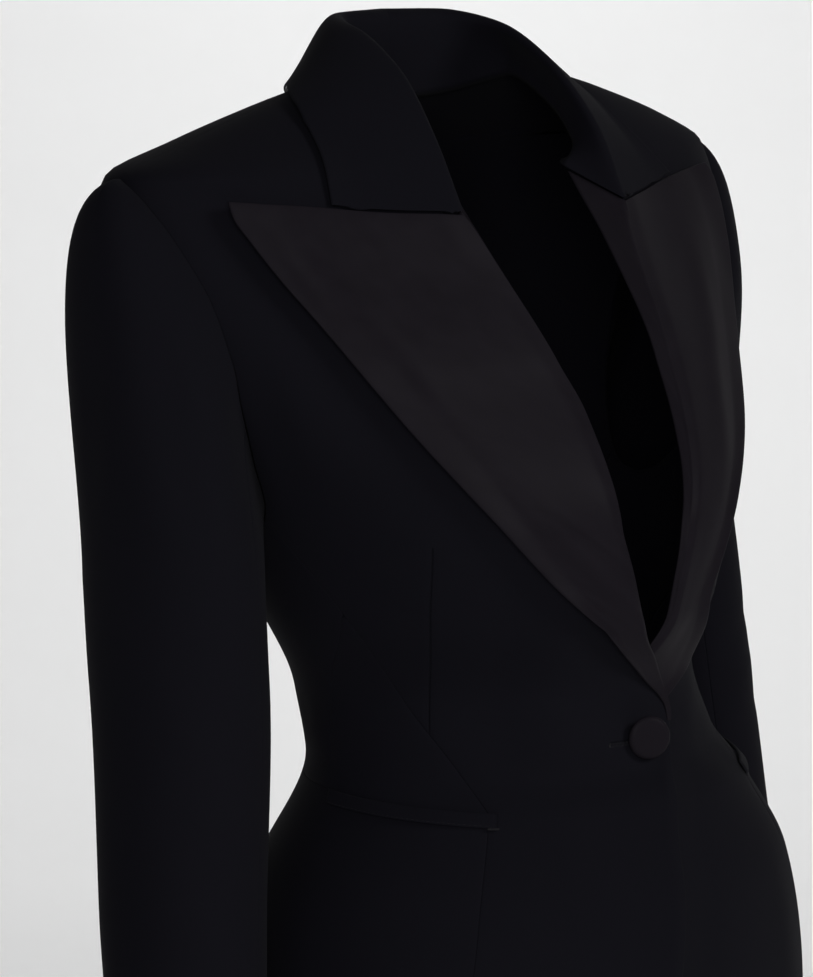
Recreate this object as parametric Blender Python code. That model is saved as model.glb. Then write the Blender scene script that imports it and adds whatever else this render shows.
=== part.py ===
"""Single-breasted tuxedo blazer with satin peak lapels, in its worn shape. Metres, +Z up.

The wearer faces -Y, and right and left are the wearer's. The origin is midway between the two
points where the shoulder seams meet the neck. Each piece of cloth is one closed wall, made from a
grid of points on the garment's outer surface. A point of the body is named by its height and by
its angle round the body: 0 is the centre front, 90 the side, 180 the centre back.
"""

import bpy
import numpy as np

# Cloth and sewing.
CLOTH = 0.0016
SEAM = 0.0005

# Heights of the cut lines.
NECK_TOP = -0.004
SHOULDER_TIP = -0.050
PEAK = -0.065
GORGE = -0.081
ARMHOLE_JOINT = -0.243
UNDERARM = -0.254
SIDE_BRANCH = -0.294
BREAK = -0.358
WAIST_SIDE = -0.399
WAIST_FRONT = -0.410
HEM = -0.660
CENTRE_BACK_NECK = -0.019

# The body, ring by ring: height, half width, depth in front, depth behind, forward, aside, fullness.
RINGS = [
    (0.000, 0.076, 0.010, 0.010, 0.000, 0.000, 2.20),
    (-0.009, 0.111, 0.026, 0.029, 0.000, 0.000, 2.20),
    (-0.020, 0.148, 0.040, 0.045, 0.000, 0.000, 2.20),
    (-0.033, 0.188, 0.053, 0.060, 0.000, 0.000, 2.20),
    (-0.050, 0.232, 0.066, 0.077, 0.000, 0.000, 2.20),
    (-0.070, 0.237, 0.081, 0.090, 0.000, 0.000, 2.20),
    (-0.100, 0.236, 0.100, 0.103, 0.000, 0.000, 2.20),
    (-0.160, 0.213, 0.133, 0.114, 0.006, 0.000, 2.20),
    (-0.240, 0.168, 0.158, 0.112, 0.024, 0.000, 2.10),
    (-0.300, 0.148, 0.139, 0.102, 0.040, 0.001, 1.95),
    (-0.350, 0.131, 0.118, 0.096, 0.050, 0.002, 1.85),
    (-0.385, 0.135, 0.118, 0.098, 0.060, 0.006, 1.85),
    (-0.410, 0.148, 0.126, 0.108, 0.068, 0.008, 1.90),
    (-0.460, 0.176, 0.142, 0.130, 0.070, 0.008, 2.00),
    (-0.550, 0.194, 0.150, 0.145, 0.066, 0.006, 2.10),
    (-0.660, 0.200, 0.154, 0.150, 0.060, 0.004, 2.10),
]

# How far the left shoulder is held back and up, and the height where that fades out.
LEFT_HELD_BACK = 0.014
LEFT_HELD_UP = 0.0035
HELD_END = -0.300
SHOULDER_HALF = 0.232

# Seams that run down the body: (height, angle from the centre front).
ARMHOLE_FRONT = [
    (-0.050, 90), (-0.054, 84), (-0.062, 77), (-0.083, 69), (-0.115, 64), (-0.150, 67),
    (-0.180, 72), (-0.210, 78), (-0.243, 84), (-0.250, 88), (-0.254, 95),
]
ARMHOLE_BACK = [
    (-0.050, 90), (-0.054, 95), (-0.062, 100), (-0.083, 105), (-0.115, 109), (-0.150, 111),
    (-0.180, 111), (-0.210, 109), (-0.243, 104), (-0.250, 101), (-0.254, 95),
]
SLANT_SEAM = [(-0.243, 84), (-0.294, 72), (-0.345, 62), (-0.371, 55), (-0.410, 46)]
SIDE_SEAM = [(-0.294, 72), (-0.310, 75), (-0.336, 83), (-0.399, 94)]
BACK_SEAM = [(-0.243, 104), (-0.300, 118), (-0.399, 124), (-0.660, 124)]
HIP_SEAM = [(-0.410, 46), (-0.660, 45)]

# Lines given by how far they lie from the centre front, less than 0 past it: (height, distance).
NECKLINE = [(-0.004, 0.080), (-0.020, 0.079), (-0.040, 0.075), (-0.060, 0.072), (-0.074, 0.072)]
ROLL_RIGHT = [
    (-0.074, 0.068), (-0.090, 0.058), (-0.120, 0.046), (-0.160, 0.036), (-0.200, 0.031),
    (-0.240, 0.029), (-0.277, 0.014), (-0.309, -0.002), (-0.327, -0.016), (-0.358, -0.030),
]
ROLL_LEFT = [
    (-0.074, 0.068), (-0.100, 0.062), (-0.120, 0.061), (-0.150, 0.059), (-0.180, 0.056),
    (-0.210, 0.047), (-0.250, 0.024), (-0.290, 0.004), (-0.320, -0.012), (-0.358, -0.024),
]
LAPEL_EDGE = [
    (-0.065, 0.199), (-0.072, 0.199), (-0.085, 0.195), (-0.107, 0.185), (-0.127, 0.172),
    (-0.206, 0.125), (-0.268, 0.077), (-0.290, 0.049), (-0.315, 0.018), (-0.329, -0.002),
    (-0.341, -0.017), (-0.358, -0.036),
]
FRONT_EDGE_RIGHT = [
    (-0.358, -0.034), (-0.375, -0.025), (-0.390, -0.010), (-0.405, 0.002), (-0.436, 0.013),
    (-0.480, 0.016), (-0.560, 0.028), (-0.660, 0.058),
]
FRONT_EDGE_LEFT = [
    (-0.358, -0.030), (-0.400, -0.028), (-0.440, -0.028), (-0.500, -0.022), (-0.580, 0.000),
    (-0.660, 0.036),
]

# How far the cloth stands off the body: along the roll line, and the right front over the left.
ROLL_LIFT = [
    (-0.004, 0.0), (-0.030, 0.002), (-0.055, 0.007), (-0.081, 0.0115), (-0.100, 0.0095),
    (-0.150, 0.005), (-0.200, 0.002), (-0.358, 0.0),
]
ROLL_REACH = 0.060
ROLL_LEG = [(-0.081, 0.014), (-0.110, 0.008), (-0.200, 0.005), (-0.270, 0.0025), (-0.358, 0.001)]
LAPEL_FLAT = -0.335
LAPEL_FULL = -0.265
LAP_LIFT = [(-0.250, 0.0), (-0.295, 0.0062), (-0.360, 0.0062), (-0.400, 0.0026), (-0.660, 0.0026)]
LAP_START = -0.085
LAP_FULL = -0.045

# Collar, from the gorge to the centre back: the seam, the crest and the outer edge, each x, y, z.
COLLAR = [
    (0.0, (0.054, -0.070, -0.0535), (0.067, -0.096, -0.0715), (0.137, -0.066, -0.0660)),
    (0.2, (0.070, -0.055, -0.0385), (0.064, -0.073, -0.0340), (0.130, -0.050, -0.0430)),
    (0.4, (0.073, -0.031, -0.0180), (0.060, -0.036, 0.0060), (0.121, -0.020, -0.0130)),
    (0.6, (0.073, 0.004, -0.0010), (0.060, 0.000, 0.0270), (0.102, 0.009, -0.0050)),
    (0.8, (0.046, 0.030, -0.0100), (0.042, 0.032, 0.0330), (0.066, 0.045, -0.0160)),
    (1.0, (0.000, 0.039, -0.0150), (0.000, 0.041, 0.0340), (0.000, 0.066, -0.0320)),
]
COLLAR_REST = 0.0026
COLLAR_GAP = 0.0012

# The lapel leg's inner corner at the gorge, and the height where it has run into the plain leg.
LEG_TOP = (0.0505, -0.0665, -0.0565)
LEG_FADE = -0.150

# Sleeves, at level sections: height, aside, forward, half across, half front to back.
SLEEVE_RIGHT = [
    (-0.272, 0.2180, 0.026, 0.0480, 0.0550),
    (-0.330, 0.2180, 0.030, 0.0485, 0.0535),
    (-0.460, 0.2330, 0.050, 0.0460, 0.0480),
    (-0.620, 0.2565, 0.082, 0.0430, 0.0440),
]
SLEEVE_LEFT = [
    (-0.272, 0.2150, -0.023, 0.0475, 0.0550),
    (-0.330, 0.2250, -0.023, 0.0475, 0.0535),
    (-0.460, 0.2470, -0.016, 0.0460, 0.0480),
    (-0.620, 0.2660, 0.004, 0.0430, 0.0440),
]
SLEEVE_SEAM_STEP = 8
HEAD_RISE = 0.10
HEAD_FORWARD = 0.15
HEAD_FULLNESS_RIGHT = 0.58
HEAD_FULLNESS_LEFT = 0.46

# Welt, button and buttonhole.
WELT_HEIGHT = 0.009
WELT_FRONT = 44
WELT_BACK = 92
BUTTON_HEIGHT = -0.3725
BUTTON_X = 0.0005
BUTTON_TURN = 24
BUTTON_RADIUS = 0.0125
BUTTON_THICK = 0.0045
SHANK_RADIUS = 0.0011
HOLE_LENGTH = 0.028
HOLE_WIDTH = 0.0032

SIDES = (("right", -1), ("left", 1))


def smooth(table, x):
    """The rising or falling curve through a table of (position, value), with no overshoot."""
    points = np.array(sorted(table), float)
    xs, ys = points[:, 0], points[:, 1]
    step = np.diff(xs)
    slope = np.diff(ys) / step
    tangent = np.concatenate([slope[:1], np.zeros(len(xs) - 2), slope[-1:]])
    same = slope[:-1] * slope[1:] > 0
    before = 2 * step[1:] + step[:-1]
    after = step[1:] + 2 * step[:-1]
    with np.errstate(divide="ignore", invalid="ignore"):
        mean = (before + after) / (before / slope[:-1] + after / slope[1:])
    tangent[1:-1] = np.where(same, mean, 0)
    x = np.clip(np.asarray(x, float), xs[0], xs[-1])
    i = np.clip(np.searchsorted(xs, x) - 1, 0, len(step) - 1)
    t = (x - xs[i]) / step[i]
    ends = (2 * t**3 - 3 * t**2 + 1) * ys[i] + (3 * t**2 - 2 * t**3) * ys[i + 1]
    turns = (t**3 - 2 * t**2 + t) * tangent[i] + (t**3 - t**2) * tangent[i + 1]
    return ends + turns * step[i]


def ramp(x, start, end):
    """0 at start, 1 at end, with soft ends."""
    t = np.clip((x - start) / (end - start), 0, 1)
    return t * t * (3 - 2 * t)


def ring_sizes(z):
    return [smooth([(row[0], row[k]) for row in RINGS], z) for k in range(1, 7)]


def posture(x, z):
    """How far the pose of the left arm moves the cloth at this place."""
    share = np.clip(x, 0, None) / SHOULDER_HALF
    back = LEFT_HELD_BACK * share**2 * ramp(z, HELD_END, SHOULDER_TIP)
    middle = ramp(share, 0.30, 0.55) * ramp(share, 1.0, 0.75)
    return np.stack([0 * back, back, LEFT_HELD_UP * middle * ramp(z, -0.100, -0.030)], -1)


def bare_body(z, angle):
    """Points on the body at these heights and angles, the wearer's right being negative."""
    z, angle = np.broadcast_arrays(np.asarray(z, float), np.radians(angle))
    width, front, back, forward, aside, fullness = ring_sizes(z)
    across, along = np.sin(angle), np.cos(angle)
    x = width * np.sign(across) * np.abs(across) ** (2 / fullness)
    depth = np.where(along > 0, front, back)
    y = -depth * np.sign(along) * np.abs(along) ** (2 / fullness)
    return np.stack([x + aside, y - forward, z], -1) + posture(x, z)


def body(z, angle, lift=0.0):
    """Points that stand off the body by lift, square to its surface."""
    up = bare_body(z + 0.0005, angle) - bare_body(z - 0.0005, angle)
    round_ = bare_body(z, angle + 0.3) - bare_body(z, angle - 0.3)
    out = np.cross(round_, up)
    out /= np.linalg.norm(out, axis=-1, keepdims=True)
    return bare_body(z, angle) + out * np.asarray(lift, float)[..., None]


def angle_at(z, distance):
    """The angle at which the body lies this far from the centre front."""
    width, _, _, _, _, fullness = ring_sizes(z)
    share = np.clip(np.abs(distance) / width, 0, 1)
    return np.sign(distance) * np.degrees(np.arcsin(share ** (fullness / 2)))


def roll_line(side):
    return ROLL_LEFT if side > 0 else ROLL_RIGHT


def front_lift(z, angle, side):
    """How far a front stands off the body: up to the roll line, and where the right one laps over."""
    inward = np.abs(bare_body(z, angle)[..., 0]) * np.sign(angle * side)
    reach = (inward - smooth(roll_line(side), z)) / ROLL_REACH
    lift = smooth(ROLL_LIFT, z) * (1 - np.clip(reach, 0, 1)) ** 2
    if side < 0:
        lift = lift + smooth(LAP_LIFT, z) * ramp(-inward, LAP_START, LAP_FULL)
    return lift


def heights(*stops):
    """Heights in even steps between stops, given as height, steps, height, steps, ... height."""
    runs = [
        np.linspace(stops[i], stops[i + 2], stops[i + 1], endpoint=False)
        for i in range(0, len(stops) - 2, 2)
    ]
    return np.concatenate([*runs, [stops[-1]]])


def trimmed(grid, gap):
    """The grid with its four edges drawn in by gap, along its own lines."""
    grid = grid.copy()
    for edge, inner in ((0, 1), (-1, -2)):
        pull = grid[:, inner] - grid[:, edge]
        grid[:, edge] += gap * pull / np.linalg.norm(pull, axis=-1, keepdims=True)
        pull = grid[inner] - grid[edge]
        grid[edge] += gap * pull / np.linalg.norm(pull, axis=-1, keepdims=True)
    return grid


def grid_normals(grid):
    """Directions square to a grid: outward, where its rows run down and its columns to the right."""
    out = np.cross(np.gradient(grid, axis=0), np.gradient(grid, axis=1))
    return out / np.linalg.norm(out, axis=-1, keepdims=True)


def add_mesh(name, points, faces, material):
    mesh = bpy.data.meshes.new(name)
    mesh.from_pydata([tuple(p) for p in points], [], faces)
    mesh.update()
    mesh.shade_smooth()
    mesh.set_sharp_from_angle(angle=np.radians(40))
    mesh.materials.append(material)
    obj = bpy.data.objects.new(name, mesh)
    bpy.context.scene.collection.objects.link(obj)
    return obj


def cloth(name, grid, material, flip=False, gap=SEAM / 2, spare=0):
    """A closed wall of cloth whose outer face is the grid, drawn in by the seam gap.

    The spare columns at each side are a neighbour's, and only set which way the edges face.
    """
    if flip:
        grid = grid[:, ::-1]
    inward = -CLOTH * grid_normals(grid)
    if spare:
        grid, inward = grid[:, spare:-spare], inward[:, spare:-spare]
    grid = trimmed(grid, gap)
    rows, columns = grid.shape[:2]
    inner = grid + inward
    points = np.concatenate([grid.reshape(-1, 3), inner.reshape(-1, 3)])
    count = rows * columns
    index = np.arange(count).reshape(rows, columns)
    faces = []
    for i in range(rows - 1):
        for j in range(columns - 1):
            quad = [index[i, j], index[i + 1, j], index[i + 1, j + 1], index[i, j + 1]]
            faces.append([int(k) for k in quad])
            faces.append([int(k) + count for k in quad[::-1]])
    rim = [index[0, j] for j in range(columns)]
    rim += [index[i, -1] for i in range(1, rows)]
    rim += [index[-1, j] for j in range(columns - 2, -1, -1)]
    rim += [index[i, 0] for i in range(rows - 2, 0, -1)]
    for a, b in zip(rim, rim[1:] + rim[:1]):
        faces.append([int(a), int(b), int(b) + count, int(a) + count])
    return add_mesh(name, points, faces, material)


def material(name, colour, roughness, sheen=0.0):
    made = bpy.data.materials.new(name)
    made.use_nodes = True
    shader = made.node_tree.nodes["Principled BSDF"]
    shader.inputs["Base Color"].default_value = (*colour, 1)
    shader.inputs["Roughness"].default_value = roughness
    shader.inputs["Metallic"].default_value = 0.0
    shader.inputs["Sheen Weight"].default_value = sheen
    return made


def line(levels, angles):
    """A seam line's points, each a height and an angle."""
    return np.stack(np.broadcast_arrays(levels, angles), -1).astype(float)


def panel(name, outer, inner, columns, side, look, lift=None, top=None):
    """A piece of the body between two seam lines, eased to a curved top edge where it has one."""
    across = np.linspace(0, 1, columns)[None, :, None]
    grid = outer[:, None] * (1 - across) + inner[:, None] * across
    if top is not None:
        fade = np.linspace(1, 0, len(outer))[:, None, None] ** 2
        grid = grid + fade * (top - grid[0])
    z, angle = grid[..., 0], side * grid[..., 1]
    stand = lift(z, angle, side) if lift else np.zeros(z.shape)
    return cloth(name, body(z, angle, stand), look, flip=side > 0)


def armhole_line(around):
    """The armhole's heights and angles: 0 is the shoulder tip, 90 the front, 180 the underarm."""
    z = SHOULDER_TIP + (UNDERARM - SHOULDER_TIP) * (1 - np.cos(np.radians(around))) / 2
    angles = np.where(around <= 180, smooth(ARMHOLE_FRONT, z), smooth(ARMHOLE_BACK, z))
    return line(z, angles)


def armhole_steps():
    """Places round the armhole: from the tip to the joint with the side piece, and under the arm."""
    share = (SHOULDER_TIP - ARMHOLE_JOINT) / (SHOULDER_TIP - UNDERARM)
    joint = np.degrees(np.arccos(1 - 2 * share))
    return np.linspace(0, joint, 12), np.linspace(joint, 360 - joint, 8)


def front_outer(z):
    """A front's outer line: shoulder ridge, armhole, slanting seam, hip seam."""
    angles = np.where(z > SHOULDER_TIP, 90.0, smooth(ARMHOLE_FRONT, z))
    angles = np.where(z < ARMHOLE_JOINT, smooth(SLANT_SEAM, z), angles)
    return np.where(z < WAIST_FRONT, smooth(HIP_SEAM, z), angles)


def front_inner(z, side):
    """A front's inner line: neckline, roll line, front edge."""
    edge = FRONT_EDGE_LEFT if side > 0 else FRONT_EDGE_RIGHT
    inset = 0.003 * ramp(z, BREAK, -0.300)
    distance = np.where(z > GORGE, smooth(NECKLINE, z), smooth(roll_line(side), z) + inset)
    return angle_at(z, np.where(z < BREAK, smooth(edge, z), distance))


def fronts(look):
    arm = armhole_line(armhole_steps()[0])[:, 0]
    levels = np.concatenate([
        heights(NECK_TOP, 3, -0.022, 3, SHOULDER_TIP)[:-1], arm[:-1],
        heights(ARMHOLE_JOINT, 3, SIDE_BRANCH, 4, BREAK, 3, WAIST_FRONT, 8, HEM),
    ])
    for name, side in SIDES:
        outer = line(levels, front_outer(levels))
        inner = line(levels, front_inner(levels, side))
        panel(f"front_{name}", outer, inner, 10, side, look, front_lift)


def side_pieces(look):
    """The wedge under the slanting seam, and the underarm piece behind it."""
    rear = heights(SIDE_BRANCH - 0.003, 7, WAIST_SIDE)
    fore = heights(SIDE_BRANCH - 0.003, 4, BREAK, 3, WAIST_FRONT)
    levels = heights(ARMHOLE_JOINT, 3, SIDE_BRANCH, 7, WAIST_SIDE)
    branch = np.where(levels > SIDE_BRANCH, smooth(SLANT_SEAM, levels), smooth(SIDE_SEAM, levels))
    under = armhole_line(armhole_steps()[1][::-1])
    for name, side in SIDES:
        outer = line(rear, smooth(SIDE_SEAM, rear))
        inner = line(fore, smooth(SLANT_SEAM, fore))
        panel(f"side_front_{name}", outer, inner, 5, side, look)
        outer = line(levels, smooth(BACK_SEAM, levels))
        panel(f"side_{name}", outer, line(levels, branch), 8, side, look, top=under)


def back_outer(z):
    angles = np.where(z > SHOULDER_TIP, 90.0, smooth(ARMHOLE_BACK, z))
    return np.where(z < ARMHOLE_JOINT, smooth(BACK_SEAM, z), angles)


def back_inner(z):
    """The back neckline, from the shoulder down to the centre back, and then the centre seam."""
    share = np.clip((z - CENTRE_BACK_NECK) / (NECK_TOP - CENTRE_BACK_NECK), 0, 1)
    neck = 180 - angle_at(z, 0.078 * np.sqrt(share))
    return np.where(z > CENTRE_BACK_NECK, neck, 180.0)


def backs(look):
    arm = armhole_line(armhole_steps()[0])[:, 0]
    levels = np.concatenate([
        heights(NECK_TOP, 3, CENTRE_BACK_NECK, 3, SHOULDER_TIP)[:-1], arm[:-1],
        heights(ARMHOLE_JOINT, 3, SIDE_BRANCH, 7, WAIST_SIDE, 9, HEM),
    ])
    for name, side in SIDES:
        outer = line(levels, back_inner(levels))
        panel(f"back_{name}", outer, line(levels, back_outer(levels)), 9, side, look)


def waist_seam(angles):
    """The waist seam's height, level behind the side seam and falling towards the front."""
    side, front = SIDE_SEAM[-1][1], HIP_SEAM[0][1]
    share = np.clip((side - angles) / (side - front), 0, 1)
    return WAIST_SIDE + (WAIST_FRONT - WAIST_SIDE) * share


def hips(look):
    rear = heights(WAIST_SIDE, 9, HEM)
    fore = heights(WAIST_FRONT, 9, HEM)
    angles = np.linspace(BACK_SEAM[-1][1], HIP_SEAM[0][1], 14)
    top = line(waist_seam(angles), angles)
    for name, side in SIDES:
        outer = line(rear, smooth(BACK_SEAM, rear))
        panel(f"hip_{name}", outer, line(fore, smooth(HIP_SEAM, fore)), 14, side, look, top=top)


def welts(look):
    """Each welt is a narrow folded strip that hangs from the waist seam over the hip piece."""
    angles = np.linspace(WELT_BACK, WELT_FRONT, 13)[None]
    drop = np.linspace(0, WELT_HEIGHT, 3)[:, None]
    z = waist_seam(angles) - drop
    for name, side in SIDES:
        grid = body(z, side * angles, np.full(z.shape, CLOTH + SEAM))
        cloth(f"pocket_welt_{name}", grid, look, flip=side > 0)


def armhole(side, around):
    places = armhole_line(around)
    return body(places[:, 0], side * places[:, 1])


def sleeve_section(side, z, around, table):
    aside, forward, across, along = [
        smooth([(row[0], row[k]) for row in table], z) for k in range(1, 5)
    ]
    turn = np.radians(around)
    x = side * (aside + across * np.cos(turn))
    return np.stack([x, -forward - along * np.sin(turn), np.broadcast_to(z, x.shape)], -1)


def sleeve_grid(side, around):
    """Rows from the armhole, over the padded head, down to the cuff."""
    table = SLEEVE_LEFT if side > 0 else SLEEVE_RIGHT
    fullness = HEAD_FULLNESS_LEFT if side > 0 else HEAD_FULLNESS_RIGHT
    top, cuff = table[0][0], table[-1][0]
    start = armhole(side, around)
    end = sleeve_section(side, np.full(around.shape, top), around, table)
    reach = np.linalg.norm(end - start, axis=-1, keepdims=True)
    turn = np.radians(around)
    leave = np.stack(
        [np.full(turn.shape, side), -HEAD_FORWARD * np.sin(turn), HEAD_RISE * np.cos(turn)], -1
    )
    leave /= np.linalg.norm(leave, axis=-1, keepdims=True)
    arrive = np.array([0.0, 0.0, -1.0])
    start = start + leave * SEAM
    rows = []
    for t in (0, 0.05, 0.13, 0.24, 0.38, 0.54, 0.72, 0.87):
        ends = (2 * t**3 - 3 * t**2 + 1) * start + (3 * t**2 - 2 * t**3) * end
        turns = (t**3 - 2 * t**2 + t) * fullness * leave + (t**3 - t**2) * arrive
        rows.append(ends + reach * turns)
    for z in heights(top, 8, cuff):
        rows.append(sleeve_section(side, np.full(around.shape, z), around, table))
    return np.array(rows)


def sleeves(look):
    """Two pieces each: the wide one over the arm, and the narrow one under it."""
    fore, below = armhole_steps()
    upper = fore[:SLEEVE_SEAM_STEP + 2]
    over = np.concatenate([-upper[:0:-1], upper]) % 360
    lower = fore[SLEEVE_SEAM_STEP - 1:-1]
    under = np.concatenate([lower, below, 360 - lower[::-1]])
    for name, side in SIDES:
        cloth(f"sleeve_top_{name}", sleeve_grid(side, over), look, flip=side > 0, spare=1)
        cloth(f"sleeve_under_{name}", sleeve_grid(side, under), look, flip=side > 0, spare=1)


def lapel_grid(side):
    """Each lapel lies on its front, from the roll out to the free edge, with a leg inside the roll."""
    profile = [(0.0, 0.0006), (0.10, 0.0024), (0.30, 0.0022), (0.75, 0.0024), (1.0, 0.0056)]
    levels = heights(0.0, 3, 0.07, 14, 0.84, 5, 1.0)
    foot = BREAK + 0.004
    fore = PEAK + (foot - PEAK) * levels
    rear = GORGE + (foot - GORGE) * levels
    across = np.linspace(0, 1, 10)[None]
    z = fore[:, None] + (rear - fore)[:, None] * across**2
    roll = angle_at(rear, smooth(roll_line(side), rear))[:, None]
    edge = angle_at(fore, smooth(LAPEL_EDGE, fore))[:, None]
    angle = side * (edge * (1 - across) + roll * across)
    rest = CLOTH + SEAM
    lift = rest + smooth(profile, 1 - across) * ramp(z, LAPEL_FLAT, LAPEL_FULL)
    fall = body(z, angle, front_lift(z, angle, side) + lift)
    leg = []
    for share in (0.35, 1.0):
        inward = smooth(ROLL_LEG, rear) * share
        turn = side * angle_at(rear, smooth(roll_line(side), rear) - inward)
        sunk = front_lift(rear, side * roll[:, 0], side) + rest - 0.9 * inward
        below = body(rear, turn, sunk)
        neck = np.array(LEG_TOP) * [side, 1, 1]
        above = fall[0, -1] + share * (neck + posture(neck[0], neck[2]) - fall[0, -1])
        leg.append(below + ramp(rear, LEG_FADE, GORGE)[:, None] * (above - below[0]))
    return np.concatenate([fall, np.stack(leg, 1)], 1)


def lapels(look):
    for name, side in SIDES:
        cloth(f"lapel_{name}", lapel_grid(side), look, flip=side > 0)


def collar(look):
    """Stand, roll and fall in one folded piece, from one gorge round the back to the other."""
    places = [row[0] for row in COLLAR]
    stations = np.linspace(0, 1, 15)
    lines = []
    for k in (1, 2, 3):
        axes = [smooth(list(zip(places, [row[k][i] for row in COLLAR])), stations) for i in range(3)]
        lines.append(np.stack(axes, -1))
    seam, crest, edge = lines
    outward = (edge - crest) * [1, 1, 0]
    outward /= np.linalg.norm(outward, axis=-1, keepdims=True)
    rise = np.linalg.norm(crest - seam, axis=-1, keepdims=True)
    upward = np.array([0.0, 0.0, 1.0])
    stand = [seam, seam + 0.5 * rise * upward, crest - 0.3 * rise * outward, crest]
    fall = [crest, crest + 0.010 * outward, edge + 0.4 * (crest - edge) + 0.003 * upward, edge]
    columns = [bezier(stand, t) for t in (0, 0.35, 0.7, 0.9)]
    columns += [bezier(fall, t) for t in (0, 0.15, 0.32, 0.5, 0.68, 0.85, 1)]
    half = np.stack(columns, 1)
    left = half + posture(half[..., 0], half[..., 2])
    right = half * [-1, 1, 1]
    for side, grid in ((-1, right), (1, left)):
        grid[:, 4:] = clear_of_body(grid[:, 4:], side)
        meet_lapel(grid, side)
    cloth("collar", np.concatenate([right, left[::-1][1:]]), look, flip=True, gap=0)


def meet_lapel(grid, side):
    """Brings the collar's end to the top edge of the lapel and its leg, easing the stations near it."""
    top = lapel_grid(side)[0]
    crest, neck = top[-3], top[-1]
    fall = abs(grid[0, 4:, 0])
    end = grid[0].copy()
    end[4:, 2] = np.interp(fall, np.abs(top[-3::-1, 0]), top[-3::-1, 2]) + COLLAR_GAP
    for j, share in enumerate((1.0, 0.66, 0.30, 0.10)):
        end[j] = crest + share * (neck - crest) + COLLAR_GAP * np.array([0, 0.8, 1.0])
    change = end - grid[0]
    for i, share in enumerate((1.0, 0.45, 0.1)):
        grid[i] += share * change


def button(look):
    """A covered button on the right front, with its shank through the buttonhole to the left one."""
    angle = angle_at(BUTTON_HEIGHT, BUTTON_X)
    lap = front_lift(BUTTON_HEIGHT, angle, -1)
    seat = body(BUTTON_HEIGHT, angle, lap)
    turn = np.radians(BUTTON_TURN)
    out = np.array([-np.sin(turn), -np.cos(turn), 0.0])
    foot = SEAM - lap
    under = BUTTON_RADIUS * np.sin(turn) + SEAM
    profile = [(0.0, 0.7), (0.25, 1.0), (0.55, 1.0), (0.85, 0.8), (1.0, 0.4)]
    rings = [(foot, 0.0), (foot, SHANK_RADIUS), (under, SHANK_RADIUS)]
    rings += [(under + up * BUTTON_THICK, wide * BUTTON_RADIUS) for up, wide in profile]
    rings += [(under + BUTTON_THICK, 0.0)]
    turned("button", seat, out, rings, 24, look)
    cut_buttonhole(seat)


def cut_buttonhole(seat):
    """The buttonhole runs from the shank towards the wearer's right, through the right front."""
    half_long, half_high = HOLE_LENGTH / 2, HOLE_WIDTH / 2
    middle = seat - [half_long - HOLE_WIDTH, 0, 0]
    ends = (-1, 1)
    corners = [
        middle + np.array([x * half_long, y * 0.02, z * half_high])
        for x in ends for y in ends for z in ends
    ]
    sides = [(0, 1, 3, 2), (4, 6, 7, 5), (0, 4, 5, 1), (2, 3, 7, 6), (0, 2, 6, 4), (1, 5, 7, 3)]
    hole = bpy.data.meshes.new("buttonhole")
    hole.from_pydata([tuple(p) for p in corners], [], sides)
    cutter = bpy.data.objects.new("buttonhole_cutter", hole)
    cutter.hide_render = True
    cutter.display_type = "WIRE"
    bpy.context.scene.collection.objects.link(cutter)
    cut = bpy.data.objects["front_right"].modifiers.new("buttonhole", "BOOLEAN")
    cut.object = cutter
    cut.operation = "DIFFERENCE"


def turned(name, seat, axis, rings, sides, look):
    """A solid turned about an axis, from rings given as height and radius, closed at both ends."""
    axis = axis / np.linalg.norm(axis)
    across = np.cross(axis, [0, 0, 1.0])
    across /= np.linalg.norm(across)
    up = np.cross(across, axis)
    turn = np.linspace(0, 2 * np.pi, sides, endpoint=False)[:, None]
    rim = np.cos(turn) * across + np.sin(turn) * up
    points = [seat + axis * rings[0][0]]
    for height, radius in rings[1:-1]:
        points.extend(seat + axis * height + rim * radius)
    points.append(seat + axis * rings[-1][0])
    faces = []
    for k in range(sides):
        after = (k + 1) % sides
        faces.append([0, 1 + k, 1 + after])
        for ring in range(len(rings) - 3):
            low, high = 1 + ring * sides, 1 + (ring + 1) * sides
            faces.append([low + k, high + k, high + after, low + after])
        last = 1 + (len(rings) - 3) * sides
        faces.append([last + k, len(points) - 1, last + after])
    return add_mesh(name, points, faces, look)


def clear_of_body(points, side):
    """The points, each moved out where it lies too near the shoulder or the front below it."""
    z = np.linspace(-0.001, -0.100, 100)[:, None]
    angle = np.linspace(1, 179, 179)[None]
    lift = front_lift(z, side * np.minimum(angle, 90), side) * (angle < 90)
    surface = body(z, side * angle, lift)
    out = grid_normals(surface) * side
    moved = points.copy()
    for place in np.ndindex(points.shape[:-1]):
        away = points[place] - surface
        near = np.linalg.norm(away, axis=-1)
        at = np.unravel_index(near.argmin(), near.shape)
        moved[place] += max(COLLAR_REST - away[at] @ out[at], 0) * out[at]
    return moved


def bezier(points, t):
    a, b, c, d = points
    return (1 - t) ** 3 * a + 3 * t * (1 - t) ** 2 * b + 3 * t * t * (1 - t) * c + t**3 * d


for old in list(bpy.data.objects):
    bpy.data.objects.remove(old)

wool = material("black_wool", (0.008, 0.008, 0.010), 0.85)
satin = material("black_satin", (0.014, 0.012, 0.015), 0.35, 0.2)

fronts(wool)
side_pieces(wool)
backs(wool)
hips(wool)
welts(wool)
sleeves(wool)
lapels(satin)
collar(wool)
button(satin)
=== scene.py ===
import bpy
import numpy as np
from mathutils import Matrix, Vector
from mathutils.bvhtree import BVHTree


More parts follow.
